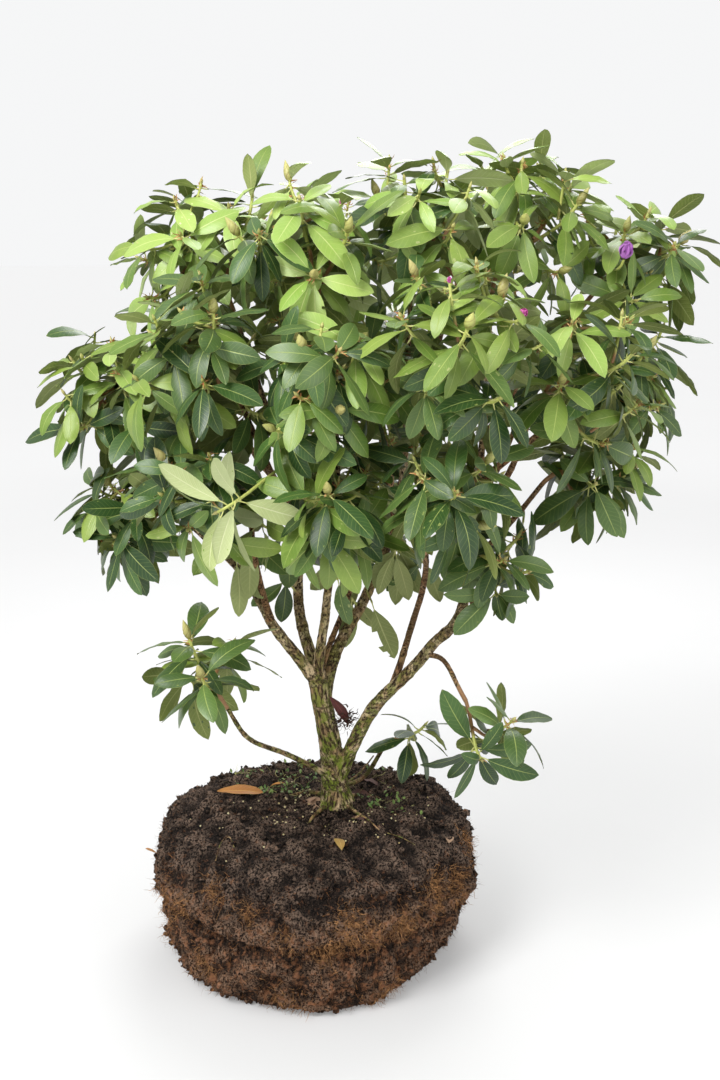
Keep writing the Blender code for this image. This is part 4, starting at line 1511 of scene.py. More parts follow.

# %% [markdown]
# ## Dealing out the tints
#
# Tints go by whorl, as they do on the plant: most whorls are old and dark, those nearer the sun are
# fresh, and a few are this year's bright growth. A seeded draw for each whorl deals them out, and
# leans to fresh with height. The lean is partly that young growth and partly painted light: it makes
# the crown lighter on top and darker lower down, where shade falls. All leaves of one tint are one
# piece with two skins.

# %% Leaf pieces
GROWTH_AND_PAINTED_LIGHT_LEAN = 0.33
LEAN_FROM = 0.9
LEAN_RUN = 0.3
TINT_SHARES = (("bright", 0.09), ("fresh", 0.39), ("dark", 0.68), ("deep", 9.0))
BEND_SEED = 77


def tint_of(twig):
    """The tint of a whorl, by a seeded draw that leans to fresh with height, partly as painted light."""
    tip = twig.points[-1]
    if twig.facing == PALE_FACING:
        return "bright"
    if twig.shoot.leader and tip.z > 1:
        return "fresh"
    rng = random.Random(round(tip.x * 9973) + round(tip.z * 7919) + round(tip.y * 6007))
    # Fresher tints higher up and more of the deep tint lower down: partly young growth, partly painted light
    # and shade.
    draw = rng.random() - GROWTH_AND_PAINTED_LIGHT_LEAN * max(-0.3, (tip.z - LEAN_FROM) / LEAN_RUN)
    return next(tint for tint, share in TINT_SHARES if draw < share)


def two_skins(name, frames, finishes, eaten=()):
    """A joined piece of leaves with an upper and a lower skin, but for the eaten faces."""
    points, normals, places = blade_points(frames)
    under = points - normals * SKIN_THICKNESS
    upper = np.delete(skin_faces(len(points), False), eaten, axis=0)
    lower = np.delete(skin_faces(len(points), True), eaten, axis=0) + points.size // 3
    return joined_piece(
        name,
        np.concatenate([points.reshape(-1, 3), under.reshape(-1, 3)]),
        np.concatenate([upper, lower]),
        finishes,
        slots=np.repeat([0, len(finishes) - 1], len(upper)),
        vectors={"leaf_place": np.concatenate([places.reshape(-1, 3)] * 2)},
    )


stalk_shape = Shape()
leaf_pieces = []
for tint in ("deep", "dark", "fresh", "bright"):
    batch = [leaf for leaf in leaves if tint_of(leaf.twig) == tint]
    frames = leaf_frames(batch, np.random.default_rng(BEND_SEED + len(leaf_pieces)))
    piece = two_skins("leaves_" + tint, frames, [upper_finishes[tint], lower_finishes[tint]])
    leaf_pieces.append(piece)
    stalk_tubes(frames, stalk_shape)
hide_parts(*[mass.name for mass in MASSES])

# %% The leaf stalks
stalk_green, tree, inputs = new_finish("leaf stalk", roughness=0.5)
stalk_noise = ramp(tree, noise_value(tree, own_place(tree), 40.0, 2.0), 0.35, 0.65)
tree.links.new(blend(tree, stalk_noise, (0.42, 0.45, 0.12), (0.60, 0.60, 0.22)), inputs["Base Color"])
stalks = stalk_shape.piece("leaf_stalks", stalk_green)

# %% [markdown]
# ## Buds
#
# Every shoot ends in a bud. Most are slim leaf buds, but the fat ones hold next year's flowers. A bud
# is wrapped in scales that overlap like roof tiles. The tile edges are pressed into the mesh by two
# crossing spirals, because the fat buds show large in the picture and a bump map would leave their
# outline smooth.

# %% Bud shapes
BUD_PROFILE_AT = (0.0, 0.12, 0.32, 0.55, 0.78, 0.92, 1.0)
BUD_PROFILE = (0.38, 0.78, 1.0, 0.86, 0.48, 0.20, 0.03)
BUD_SCALES = 3


def bud_rings(foot, way, length, radius, rows, sides, tone):
    """A scaly bud as points, faces and places of height, scale edge and tone."""
    side = way.orthogonal().normalized()
    across = way.cross(side)
    points, places = [], []
    for row in range(rows):
        h = row / (rows - 1)
        plain = radius * float(np.interp(h, BUD_PROFILE_AT, BUD_PROFILE))
        for k in range(sides):
            turn = 2 * math.pi * k / sides
            wind = turn / (2 * math.pi) * BUD_SCALES
            first, second = (wind + 3.1 * h) % 1.0, (-wind + 3.1 * h) % 1.0
            edge = 1 - min(first, 1 - first, second, 1 - second) * 2
            out = plain * (1.06 - 0.17 * edge**3)
            points.append(foot + h * length * way + out * swung(turn, side, across))
            places.append((h, edge, tone))
    return points, ring_faces(rows, sides)[1:-1], places


def end_of(twig):
    """The tip of a twig and the way that it points there."""
    return twig.points[-1], (twig.points[-1] - twig.points[-2]).normalized()


def whorl_at(place):
    """The whorl whose tip is nearest to a place."""
    return min(range(len(twigs)), key=lambda number: (twigs[number].points[-1] - Vector(place)).length)


FLOWER_BUDS = {
    # whorl: size
    whorl_at((0.258, -0.330, 0.982)): 0.016,
    whorl_at((0.045, -0.174, 1.116)): 0.011,
    whorl_at((0.176, -0.316, 1.022)): 0.009,
}
FAT_BUD_PLACES = (
    (-0.063, -0.10, 1.060), (-0.049, -0.119, 1.023), (0.013, -0.229, 1.030), (-0.060, -0.180, 0.850),
    (0.337, -0.099, 1.032), (0.246, -0.198, 0.992), (0.120, -0.22, 0.920), (-0.200, -0.15, 0.880),
    (-0.175, -0.16, 0.560), (-0.021, -0.143, 1.149), (0.435, -0.037, 1.085),
)
fat_whorls = {number for number, twig in enumerate(twigs) if twig.budded}
fat_whorls |= {whorl_at(place) for place in FAT_BUD_PLACES}
print("fat buds", len(fat_whorls), "flower buds", len(FLOWER_BUDS))

# %% [markdown]
# The finish of a bud runs from olive at its foot to a pale yellow-green at its tip, with brown along
# the scale edges. It reads both from the stored place, so each scale keeps its own rim.

# %% Buds
FAT_BUD = (0.021, 0.030), (0.0052, 0.0072), 13, 12
SLIM_BUD = (0.008, 0.014), (0.0021, 0.0030), 6, 6

bud_skin, tree, inputs = new_finish("bud scales", roughness=0.42)
height, edge, tone = stored(tree, "place")[1:]
cloud = noise_value(tree, own_place(tree), 240.0, 3.0)
body = blend(tree, ramp(tree, height, 0.0, 0.8), (0.22, 0.25, 0.05), (0.46, 0.47, 0.14))
body = blend(tree, times(tree, tone, 0.6), body, (0.50, 0.40, 0.17))
rim = times(tree, ramp(tree, edge, 0.72, 1.0), plus(tree, 0.25, cloud))
tree.links.new(blend(tree, rim, body, (0.15, 0.075, 0.025)), inputs["Base Color"])
relief(tree, inputs, minus(tree, cloud, edge), 0.0004, 0.7)

bud_shape = Shape()
rng = random.Random(61)
for number, twig in enumerate(twigs):
    if number in FLOWER_BUDS:
        continue
    tip, way = end_of(twig)
    lengths, radii, rows, sides = FAT_BUD if number in fat_whorls else SLIM_BUD
    size = rng.uniform(*lengths), rng.uniform(*radii)
    bud_shape.add(*bud_rings(tip - 0.0015 * way, way, *size, rows, sides, rng.random()))
buds = bud_shape.piece("buds", bud_skin)

# %% [markdown]
# ## Flower buds
#
# A few buds have begun to open. The biggest, at the right shoulder, is violet, and smaller ones in the
# crown are magenta. Each is a tight cone of petals, made with the same grid as a leaf, only shorter,
# rounder and cupped. The helper for such loose blades also serves the fallen leaves further down.

# %% Petals
VIOLET_START = Vector((0.405, -0.020, 1.045))
VIOLET_TIP = Vector((0.422, -0.1, 1.047))
VIOLET_WAY = Vector((0.25, -0.30, 1.0)).normalized()
VIOLET_SIZE = 0.027
PETAL_BENDS = {"arch": (-0.9, -0.3), "keel": (0.3, 0.5), "twist": (-0.2, 0.2)}


def loose_leaves(name, batch, finishes, slot, seed, eaten=(), stalks=None, **bends):
    """A piece of leaf-shaped blades that aren't part of a whorl, with some bends set."""
    frames = leaf_frames(batch, np.random.default_rng(seed))
    for key, (low, high) in bends.items():
        frames[-1][key] = np.random.default_rng(seed + 1).uniform(low, high, len(batch))
    if stalks is not None:
        stalk_tubes(frames, stalks)
    piece = two_skins(name, frames, finishes, eaten)
    return piece


def petals_of(tip, way, size):
    """The petals of one opening bud."""
    way = (way + 0.5 * UP).normalized()
    side = way.orthogonal().normalized()
    across = way.cross(side)
    petals = []
    for k in range(9 if size > 0.02 else 6):
        out = swung(k * GOLDEN_ANGLE, side, across)
        along_petal = (way + (0.22 + 0.04 * k) * out).normalized()
        length = size * (1 - 0.03 * k)
        foot = tip + 0.10 * size * out
        petals.append(Leaf(foot, along_petal, way.cross(out).normalized(), length, 0.62 * size))
    return petals


violet = leaf_finish(
    "petal violet", 0.3, (0.27, 0.065, 0.32), (0.55, 0.24, 0.60), (0.55, 0.25, 0.68), Vein=0.1, Roughness=0.5
)
magenta = leaf_finish(
    "petal magenta", 0.3, (0.38, 0.035, 0.24), (0.68, 0.14, 0.42), (0.72, 0.25, 0.5), Vein=0.1, Roughness=0.5
)
violet_petals = petals_of(VIOLET_TIP, VIOLET_WAY, VIOLET_SIZE)
magenta_petals = []
for number, size in FLOWER_BUDS.items():
    magenta_petals += petals_of(*end_of(twigs[number]), size)
loose_leaves("petals_violet", violet_petals, [violet], "leaf", 91, **PETAL_BENDS)
loose_leaves("petals_magenta", magenta_petals, [magenta], "leaf", 91, **PETAL_BENDS)

# %% [markdown]
# ## Old bud scales
#
# Where this year's shoot left last year's bud, dry scales stay behind as an orange-brown ruff. They
# are narrow curled strips, joined into one piece, and so are the dry remains of a flower truss in the
# lower fork.

# %% Strips
STRIP_POINTS = 5


def curling_strips(spots, ways, lengths, widths, rng, curl=0.9, hang=0.0, spread=0.75):
    """Curling strips from these spots, as arrays of points and 4-sided faces."""
    count = len(spots)
    heading = ways * 0.55 + rng.normal(0, spread, (count, 3))
    heading[:, 2] -= hang
    heading /= np.linalg.norm(heading, axis=1, keepdims=True)
    point = spots - ways * 0.001
    across = np.cross(heading, rng.normal(0, 1, (count, 3)))
    across /= np.linalg.norm(across, axis=1, keepdims=True)
    rows = []
    for step in range(STRIP_POINTS):
        taper = widths * (1 - 0.75 * step / (STRIP_POINTS - 1)) / 2
        rows.append(np.stack([point - across * taper[:, None], point + across * taper[:, None]], axis=1))
        heading = heading + rng.normal(0, curl * 0.45, (count, 3))
        heading /= np.linalg.norm(heading, axis=1, keepdims=True)
        point = point + heading * (lengths / (STRIP_POINTS - 1))[:, None]
        point[:, 2] = np.maximum(point[:, 2], 0.0006)
    points = np.stack(rows, axis=1).reshape(-1, 3)
    one = np.array([(2 * k, 2 * k + 1, 2 * k + 3, 2 * k + 2) for k in range(STRIP_POINTS - 1)])
    faces = one[None] + (2 * STRIP_POINTS * np.arange(count))[:, None, None]
    return points, faces.reshape(-1, 4)


def strip_finish(name, deep, light):
    """A strip's matt colour, which changes from place to place."""
    finish, tree, inputs = new_finish(name, roughness=0.8, Specular_IOR_Level=0.2)
    cloud = noise_value(tree, own_place(tree), 120.0, 3.0, 0.7)
    tree.links.new(blend(tree, ramp(tree, cloud, 0.35, 0.65), deep, light), inputs["Base Color"])
    return finish


def strip_piece(name, spots, ways, lengths, widths, finish, rng, slot="root_ball", **bend):
    """A joined piece of strips, their lengths and widths drawn between two bounds."""
    lengths = rng.uniform(*lengths, len(spots))
    widths = rng.uniform(*widths, len(spots))
    points, faces = curling_strips(spots, ways, lengths, widths, rng, **bend)
    piece = joined_piece(name, points, faces, [finish], smooth=False)
    return piece


SCALED_SHARE = 0.60
SCALES_EACH = 13
rng = np.random.default_rng(52)
spots, ways = [], []
for twig in twigs:
    if rng.random() > SCALED_SHARE:
        continue
    tip, way = end_of(twig)
    for _ in range(SCALES_EACH):
        out = Vector(rng.normal(0, 1, 3)).cross(way).normalized()
        spots.append(tip - rng.uniform(-0.003, 0.014) * way + 0.0015 * out)
        ways.append(out + 0.8 * way)
spots, ways = np.array(spots), np.array(ways)
dry_scale = strip_finish("dry bud scale", (0.32, 0.13, 0.045), (0.60, 0.38, 0.16))
scale_size = (0.006, 0.013), (0.0018, 0.0040)
strip_piece("bud_scales", spots, ways, *scale_size, dry_scale, rng, "bark", spread=0.3, curl=0.7)

# %% [markdown]
# ## What is caught in the fork
#
# A dark red dead leaf has curled up in the lower fork. It is one blade of the leaf grid, rolled and
# twisted until it is nearly a tube.

# %% The leaf in the fork
FORK_LEAF_ROOT = Vector((0.020, -0.050, 0.424))
FORK_LEAF_WAY = Vector((0.62, -0.05, -0.78)).normalized()
FORK_LEAF_ACROSS = Vector((0.6, 0.6, 0.5)).normalized()

red_dead = leaf_finish(
    "dead red leaf", 0.8, (0.055, 0.010, 0.008), (0.19, 0.030, 0.022), (0.22, 0.05, 0.03), Roughness=0.6
)
fork_leaf = Leaf(FORK_LEAF_ROOT, FORK_LEAF_WAY, FORK_LEAF_ACROSS, 0.064, 0.015)
fork_leaf_bends = {"roll": (0.9, 1.0), "arch": (0.6, 0.7), "twist": (0.9, 1.0)}
loose_leaves("fork_leaf", [fork_leaf], [red_dead], "leaf", 5, **fork_leaf_bends)

# %% [markdown]
# ## Hanging leaves
#
# Old leaves hang under the crown, in front of the bare stems and behind them. They break the straight
# lower edge that the masses alone would leave. They hang where the picture shows them, each on a short
# twig from the nearest stem, and the first, behind the middle stems, has a bitten edge: a few faces of
# its grid are left out.

# %% Hanging leaves
HANGING = (
    # from, to, and its leaves: way, across, length, width
    ((0.080, 0.030, 0.560), (0.088, 0.005, 0.545), (
        ((0.32, 0.02, -1.0), (-0.9, 0.3, -0.2), 0.094, 0.036),
    )),
    ((0.066, 0.028, 0.535), (0.058, 0.020, 0.548), (
        ((-0.10, 0.10, -1.0), (-1.0, -0.3, 0.0), 0.080, 0.030),
        ((0.55, 0.30, -0.8), (-0.8, 0.2, -0.3), 0.066, 0.027),
    )),
    ((0.118, 0.030, 0.650), (0.122, 0.000, 0.625), (
        ((0.25, 0.05, -1.0), (-1.0, 0.4, 0.0), 0.078, 0.028),
        ((-0.35, 0.10, -0.9), (-0.9, -0.4, 0.2), 0.072, 0.028),
    )),
    ((-0.080, -0.085, 0.590), (-0.102, -0.110, 0.640), (
        ((0.06, 0.02, -1.0), (-1.0, 0.5, 0.0), 0.086, 0.030),
        ((0.45, 0.15, -0.9), (-0.9, 0.2, -0.3), 0.070, 0.027),
    )),
    ((-0.016, 0.0, 0.624), (-0.036, -0.045, 0.658), (
        ((0.05, 0.02, -1.0), (1.0, 0.3, 0.0), 0.090, 0.034),
        ((-0.75, -0.20, -0.6), (0.6, 0.4, -0.7), 0.078, 0.030),
    )),
    ((-0.115, -0.1, 0.647), (-0.084, -0.125, 0.672), (
        ((0.02, 0.05, -1.0), (-1.0, 0.4, 0.0), 0.088, 0.030),
        ((0.70, -0.20, -0.6), (0.6, 0.3, 0.7), 0.074, 0.028),
    )),
    ((0.133, 0.05, 0.635), (0.162, 0.015, 0.608), (
        ((-0.60, 0.10, -0.8), (0.8, 0.3, -0.6), 0.078, 0.029),
        ((0.45, 0.10, -0.9), (-0.9, 0.4, -0.4), 0.072, 0.027),
    )),
    ((0.239, -0.09, 0.655), (0.21, -0.125, 0.695), (
        ((-0.30, -0.10, -1.0), (1.0, 0.3, -0.3), 0.086, 0.033),
        ((0.35, -0.20, -0.9), (0.9, 0.4, 0.3), 0.076, 0.029),
    )),
    ((0.016, -0.08, 0.631), (0.039, -0.1, 0.607), (
        ((0.15, 0.10, -1.0), (1.0, -0.4, 0.1), 0.070, 0.027),
    )),
    ((0.112, 0.04, 0.608), (0.126, 0.015, 0.629), (
        ((0.02, 0.10, -1.0), (-1.0, 0.3, 0.0), 0.092, 0.030),
        ((0.40, 0.10, -0.9), (-0.9, 0.3, -0.4), 0.080, 0.027),
        ((-0.55, 0.20, -0.8), (-0.8, -0.2, 0.5), 0.076, 0.028),
    )),
    ((0.24, -0.09, 0.658), (0.232, -0.13, 0.69), (
        ((-0.08, -0.05, -1.0), (1.0, 0.2, -0.1), 0.096, 0.036),
        ((0.30, -0.05, -1.0), (1.0, -0.3, 0.3), 0.094, 0.031),
    )),
    ((-0.021, 0.0, 0.563), (-0.038, -0.025, 0.588), (
        ((-0.65, 0.10, -0.6), (0.6, 0.5, -0.6), 0.070, 0.030),
        ((-0.10, 0.10, -1.0), (1.0, 0.5, 0.0), 0.068, 0.028),
    )),
    ((0.305, -0.04, 0.693), (0.302, -0.06, 0.681), (
        ((0.03, 0.00, -1.0), (1.0, 0.6, 0.0), 0.092, 0.026),
    )),
    ((0.073, 0.05, 0.576), (0.049, 0.06, 0.604), (
        ((-0.60, 0.10, -0.7), (-0.7, 0.3, 0.6), 0.078, 0.030),
        ((0.12, 0.10, -1.0), (-1.0, -0.3, 0.0), 0.084, 0.031),
        ((-1.00, 0.05, -0.1), (0.1, 0.5, -1.0), 0.072, 0.029),
    )),
)
HANGING_START_WAY = Vector((0, -1, -0.3)).normalized()
BITTEN_ROWS = (4, 5, 7)

hanging_shape = Shape()
violet_line = bent_twig(VIOLET_START, (VIOLET_TIP - VIOLET_START).normalized(), VIOLET_TIP, VIOLET_WAY)
add_twig(hanging_shape, violet_line, (0.0018, 0.0018), (1.2, 1.2))
hanging = []
for start, end, its_leaves in HANGING:
    start, end = Vector(start), Vector(end)
    path = bent_twig(start, HANGING_START_WAY, end, (end - start).normalized())
    add_twig(hanging_shape, path, (0.0017, 0.0017), (0.6, 0.6))
    for way, across, length, width in its_leaves:
        way = Vector(way).normalized()
        across = (Vector(across) - Vector(across).dot(way) * way).normalized()
        hanging.append(Leaf(end, way, across, length, width))
hanging_twigs = hanging_shape.piece("hanging_twigs", twig_skin)
pair = [upper_finishes["dark"], lower_finishes["fresh"]]
last_column = BLADE_COLUMNS - 2
bitten = [row * (BLADE_COLUMNS - 1) + last_column for row in BITTEN_ROWS]
stalks = Shape()
loose_leaves("bitten_leaf", hanging[:1], pair, "leaf", 23, bitten, stalks, arch=(0.1, 0.2), keel=(0.05, 0.1))
loose_leaves("hanging_leaves", hanging[1:], pair, "leaf", 25, stalks=stalks)
stalks.piece("hanging_stalks", stalk_green)

# %% [markdown]
# ## The dry truss
#
# Beside the red leaf sits what is left of last year's flower truss, a black tangle of dry stalks. The
# same curling strips as the bud scales make it, spread round one place in the fork.

# %% The dry truss
TRUSS_PLACE = np.array((0.048, -0.046, 0.378))
TRUSS_STALKS = 110

rng = np.random.default_rng(53)
spots = TRUSS_PLACE + rng.normal(0, 1, (TRUSS_STALKS, 3)) * (0.009, 0.006, 0.008)
ways = (spots - TRUSS_PLACE) / 0.008 + np.array((0.0, 0.0, 0.7))
dry_black = strip_finish("dry truss", (0.018, 0.012, 0.010), (0.085, 0.050, 0.035))
strip_piece("truss_remains", spots, ways, (0.008, 0.020), (0.0014, 0.0032), dry_black, rng, "bark")

# %% [markdown]
# ## The root ball
#
# The ball is peat held together by hair-fine roots. Its top is black and crumbly, and its sides turn
# red-brown where the fibres show. One dense mesh repeats the solid's profile and lumps, and noise in
# three sizes pushes it in and out for clods. A displacement texture would do the same in the render
# only, so the points themselves are moved, and the broken rim shows in outline from every side.

# %% The ball's profile
BALL_RINGS = (
    (0.0, 0.206), (0.06, 0.222), (0.28, 0.233), (0.55, 0.242),
    (0.74, 0.242), (0.88, 0.225), (0.96, 0.180), (1.0, 0.115),
)
BALL_LUMP = 0.005
BALL_TILT = 0.004
UNDERCUT = 0.022
UNDERCUT_TOP = 0.45
UNDERCUT_ANGLE = -0.35
UNDERCUT_WIDTH = 0.45
BALL_TURNS = 340
BALL_ROWS = 124
PROFILE_STEPS = 600
PROFILE_START = 60
ROUNDING = 12


def ball_profile():
    """Evenly spaced (radius, height share) from the middle of the underside to the middle of the top."""
    rings = [(radius, share * BALL_HEIGHT) for share, radius in BALL_RINGS]
    corners = np.array([(0.0, 0.0), *rings, (0.0, BALL_HEIGHT)])
    run = np.concatenate([[0], np.cumsum(np.hypot(*np.diff(corners, axis=0).T))])
    fine = np.linspace(0, run[-1], PROFILE_STEPS)
    window = np.ones(2 * ROUNDING + 1) / (2 * ROUNDING + 1)
    pick = np.linspace(PROFILE_START, PROFILE_STEPS - 1, BALL_ROWS).astype(int)
    radius, height = (
        np.convolve(np.pad(np.interp(fine, run, values), ROUNDING, mode="edge"), window, mode="valid")[pick]
        for values in corners.T
    )
    radius[0], height[0], radius[-1] = 0.0, 0.0, 0.0
    return radius, height / BALL_HEIGHT


def ball_surface():
    """The ball's plain surface as (row, turn, xyz), by the solid's rule."""
    radius, share = ball_profile()
    angle = np.linspace(0, 2 * np.pi, BALL_TURNS, endpoint=False)[None, :]
    share = share[:, None]
    lumps = np.sin(3 * angle + 0.6) + 0.6 * np.sin(5 * angle + 2.1 + 3 * share)
    lumps = lumps + 0.5 * np.sin(8 * angle - 4 * share)
    off = (angle - UNDERCUT_ANGLE + np.pi) % (2 * np.pi) - np.pi
    undercut = UNDERCUT * np.exp(-((off / UNDERCUT_WIDTH) ** 2)) * np.maximum(0.0, 1 - share / UNDERCUT_TOP)
    fullness = np.clip(radius[:, None] / 0.2, 0, 1)
    reach = radius[:, None] + (BALL_LUMP * lumps - undercut) * fullness
    seat = np.clip(1 - radius[:, None] / 0.12, 0, 1) * (share > 0.5)
    x = reach * np.cos(angle) + seat * TRUNK_FOOT.x
    y = reach * np.sin(angle) + seat * TRUNK_FOOT.y
    tilt = BALL_TILT * share * (np.sin(2 * angle + 1.0) - 0.75) * fullness
    z = np.broadcast_to(share * BALL_HEIGHT, x.shape) + tilt
    return np.stack([x, y, z], axis=-1)


plain_ball = ball_surface()
print("ball rows", plain_ball.shape, "top", round(float(plain_ball[..., 2].max()), 4))


# %% Clods
SHELF_HEIGHT = 0.135
SHELF_DEPTH = 0.0090
BROAD_DEPTH = 0.0085
CLOD_DEPTH = 0.0092
CRUMB_DEPTH = 0.0062
SUNK = 0.0052
FLOOR_CLEARANCE = 0.0003


def outward(surface):
    """The outward direction at each point of a closed round surface."""
    rows = np.gradient(surface, axis=0)
    wrapped = np.concatenate([surface[:, -1:], surface, surface[:, :1]], axis=1)
    turns_way = np.gradient(wrapped, axis=1)[:, 1:-1]
    normals = np.cross(turns_way, rows)
    length = np.linalg.norm(normals, axis=-1, keepdims=True)
    return np.where(length > 1e-9, normals / np.maximum(length, 1e-9), [0.0, 0.0, 1.0])


def clod_depth(point):
    """How far the peat stands out of the plain ball at a point."""
    place = Vector(point)
    broad = noise.noise(place * 17)
    clod = noise.fractal(place * 40, 0.8, 2.2, 4)
    crumb = abs(noise.noise(place * 140)) + 0.7 * abs(noise.noise(place * 310))
    shelf_at = SHELF_HEIGHT + 0.020 * noise.noise(place * 9) + 0.012 * noise.noise(place * 33)
    shelf = math.exp(-(((place.z - shelf_at) / 0.018) ** 2))
    shelf -= 0.6 * math.exp(-(((place.z - shelf_at + 0.034) / 0.016) ** 2))
    side = min(1.0, math.hypot(place.x, place.y) / 0.2)
    lumps = BROAD_DEPTH * broad + CLOD_DEPTH * clod + CRUMB_DEPTH * crumb
    return lumps - SUNK + SHELF_DEPTH * shelf * side


ways_out = outward(plain_ball)
flat_points = plain_ball.reshape(-1, 3)
depths = np.array([clod_depth(point) for point in flat_points]).reshape(BALL_ROWS, BALL_TURNS)
lift_off = np.clip(plain_ball[..., 2] / 0.018, 0, 1) ** 0.7
near_trunk = np.hypot(plain_ball[..., 0] - TRUNK_FOOT.x, plain_ball[..., 1] - TRUNK_FOOT.y)
calm = np.where(plain_ball[..., 2] > 0.2, np.clip((near_trunk - 0.008) / 0.03, 0.15, 1), 1)
ball_points = plain_ball + ways_out * (depths * lift_off * calm)[..., None]
ball_points[..., 2] = np.maximum(ball_points[..., 2], FLOOR_CLEARANCE)
row_index = np.arange(BALL_ROWS - 1)[:, None]
turn_index = np.arange(BALL_TURNS)[None, :]
next_turn = (turn_index + 1) % BALL_TURNS
ball_faces = np.stack(
    [
        row_index * BALL_TURNS + turn_index,
        row_index * BALL_TURNS + next_turn,
        (row_index + 1) * BALL_TURNS + next_turn,
        (row_index + 1) * BALL_TURNS + turn_index,
    ],
    axis=-1,
).reshape(-1, 4)
print("clods from", round(float(depths.min()) / MM, 1), "to", round(float(depths.max()) / MM, 1), "mm")

# %% [markdown]
# ## The finish of the peat
#
# Peat is matt and nearly black where it is wet, and brown to rust-red where fibres are dry. The
# colour follows height and noise, so it belongs to the ball and not to the view. It also reads how
# far each point stands out of its surroundings, and paints shade into the hollows between clods, so
# they come out darkest. The same finish serves the crumbs on the ball, where the stored value is a
# random tone for each crumb instead.

# %% Peat
PEAT_COLOURS = (
    # black, dark, umber, brown, rust
    (0.004, 0.003, 0.003), (0.196, 0.134, 0.098), (0.008, 0.005, 0.004),
    (0.272, 0.162, 0.102), (0.365, 0.160, 0.078),
)
DRY_FLECK = (0.33, 0.235, 0.165)


def peat_finish(name, brightness):
    """The peat's colours by height and noise, scaled in brightness, with painted shade in its hollows."""
    finish, tree, inputs = new_finish(name, roughness=0.95, Specular_IOR_Level=0.15)
    black, dark, umber, brown, rust = ([value * brightness for value in colour] for colour in PEAT_COLOURS)
    spot = own_place(tree)
    patch = noise_value(tree, spot, 14.0, 4.0, 0.6)
    clumps = noise_value(tree, spot, 85.0, 4.0, 0.7)
    grit = noise_value(tree, spot, 300.0, 3.0, 0.75)
    fine = noise_value(tree, spot, 900.0, 2.0, 0.7)
    level = add_node(tree, "SeparateXYZ", spot, out=2)
    wavy_level = plus(tree, level, times(tree, minus(tree, patch, 0.5), 0.16))
    rusty = minus(tree, 1.0, ramp(tree, wavy_level, 0.10, 0.19))
    # The stored value is painted shade on the ball, low in the hollows, and a random tone on the crumbs. Pale
    # grains only show where it is high.
    painted_shade_and_tone = stored(tree, "clod")[1]
    crisp = ramp(tree, grit, 0.42, 0.59)
    grains = times(tree, crisp, plus(tree, 0.10, times(tree, painted_shade_and_tone, 0.90)))
    rust_spots = times(tree, ramp(tree, clumps, 0.50, 0.66), 0.7)
    side_colour = blend(tree, rust_spots, blend(tree, grains, umber, brown), rust)
    few_spots = times(tree, ramp(tree, clumps, 0.56, 0.72), 0.5)
    top_colour = blend(tree, few_spots, blend(tree, grains, black, dark), side_colour)
    earth = blend(tree, rusty, top_colour, side_colour)
    dry = plus(tree, 0.15, times(tree, crisp, 0.45))
    flecks = times(tree, ramp(tree, fine, 0.60, 0.70), dry)
    tree.links.new(blend(tree, flecks, earth, DRY_FLECK), inputs["Base Color"])
    relief(tree, inputs, plus(tree, grit, times(tree, fine, 0.5)), 0.0035, 1.0)
    return finish


# %% The peat's piece
FLAT_SHADE_LEVEL = 0.45
PAINTED_SHADE_DEPTH = 0.0048


def blurred(values, reach):
    """Values averaged over a square of rows and turns."""
    total = np.zeros_like(values)
    for down in range(-reach, reach + 1):
        rolled = values[np.clip(np.arange(len(values)) + down, 0, len(values) - 1)]
        for round_by in range(-reach, reach + 1):
            total += np.roll(rolled, round_by, axis=1)
    return total / (2 * reach + 1) ** 2


tones = np.zeros(ball_points.shape)
# Painted shade: points lower than their surroundings get a low value and come out darker.
tones[..., 0] = np.clip(FLAT_SHADE_LEVEL + (blurred(depths, 1) - blurred(depths, 6)) / PAINTED_SHADE_DEPTH, 0, 1)
peat = peat_finish("peat", 1.0)
ball = joined_piece("root_ball_peat", ball_points, ball_faces, [peat], vectors={"clod": tones})
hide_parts("root_ball")

# %% [markdown]
# ## Crumbs
#
# Loose crumbs break up the smooth mesh, above all along the rim, where they show against the white.
# Each is a rough twenty-sided lump, half sunk in the surface. They are joined into one piece.

# %% Crumbs
CRUMBS = 4600
GOLD = (1 + 5**0.5) / 2
LUMP_POINTS = np.array([
    (-1, GOLD, 0), (1, GOLD, 0), (-1, -GOLD, 0), (1, -GOLD, 0), (0, -1, GOLD), (0, 1, GOLD),
    (0, -1, -GOLD), (0, 1, -GOLD), (GOLD, 0, -1), (GOLD, 0, 1), (-GOLD, 0, -1), (-GOLD, 0, 1),
]) / 1.9
LUMP_FACES = np.array([
    (0, 11, 5), (0, 5, 1), (0, 1, 7), (0, 7, 10), (0, 10, 11), (1, 5, 9), (5, 11, 4), (11, 10, 2),
    (10, 7, 6), (7, 1, 8), (3, 9, 4), (3, 4, 2), (3, 2, 6), (3, 6, 8), (3, 8, 9), (4, 9, 5),
    (2, 4, 11), (6, 2, 10), (8, 6, 7), (9, 8, 1),
])
crumb_peat = peat_finish("peat crumbs", 1.1)


def spots_by_weight(weight, count, rng):
    """Seeded spots on the ball's mesh, as arrays of points and outward ways."""
    weight = weight.ravel()
    picks = rng.choice(weight.size, size=count, p=weight / weight.sum())
    return ball_points.reshape(-1, 3)[picks], ways_out.reshape(-1, 3)[picks]


def surface_spots(count, rng, low=0.004, high=1.0):
    """Spots between two heights, spread evenly over the ball."""
    height = ball_points[..., 2]
    ring = np.hypot(plain_ball[..., 0], plain_ball[..., 1])
    return spots_by_weight(np.where((height > low) & (height <= high), ring + 0.004, 0), count, rng)


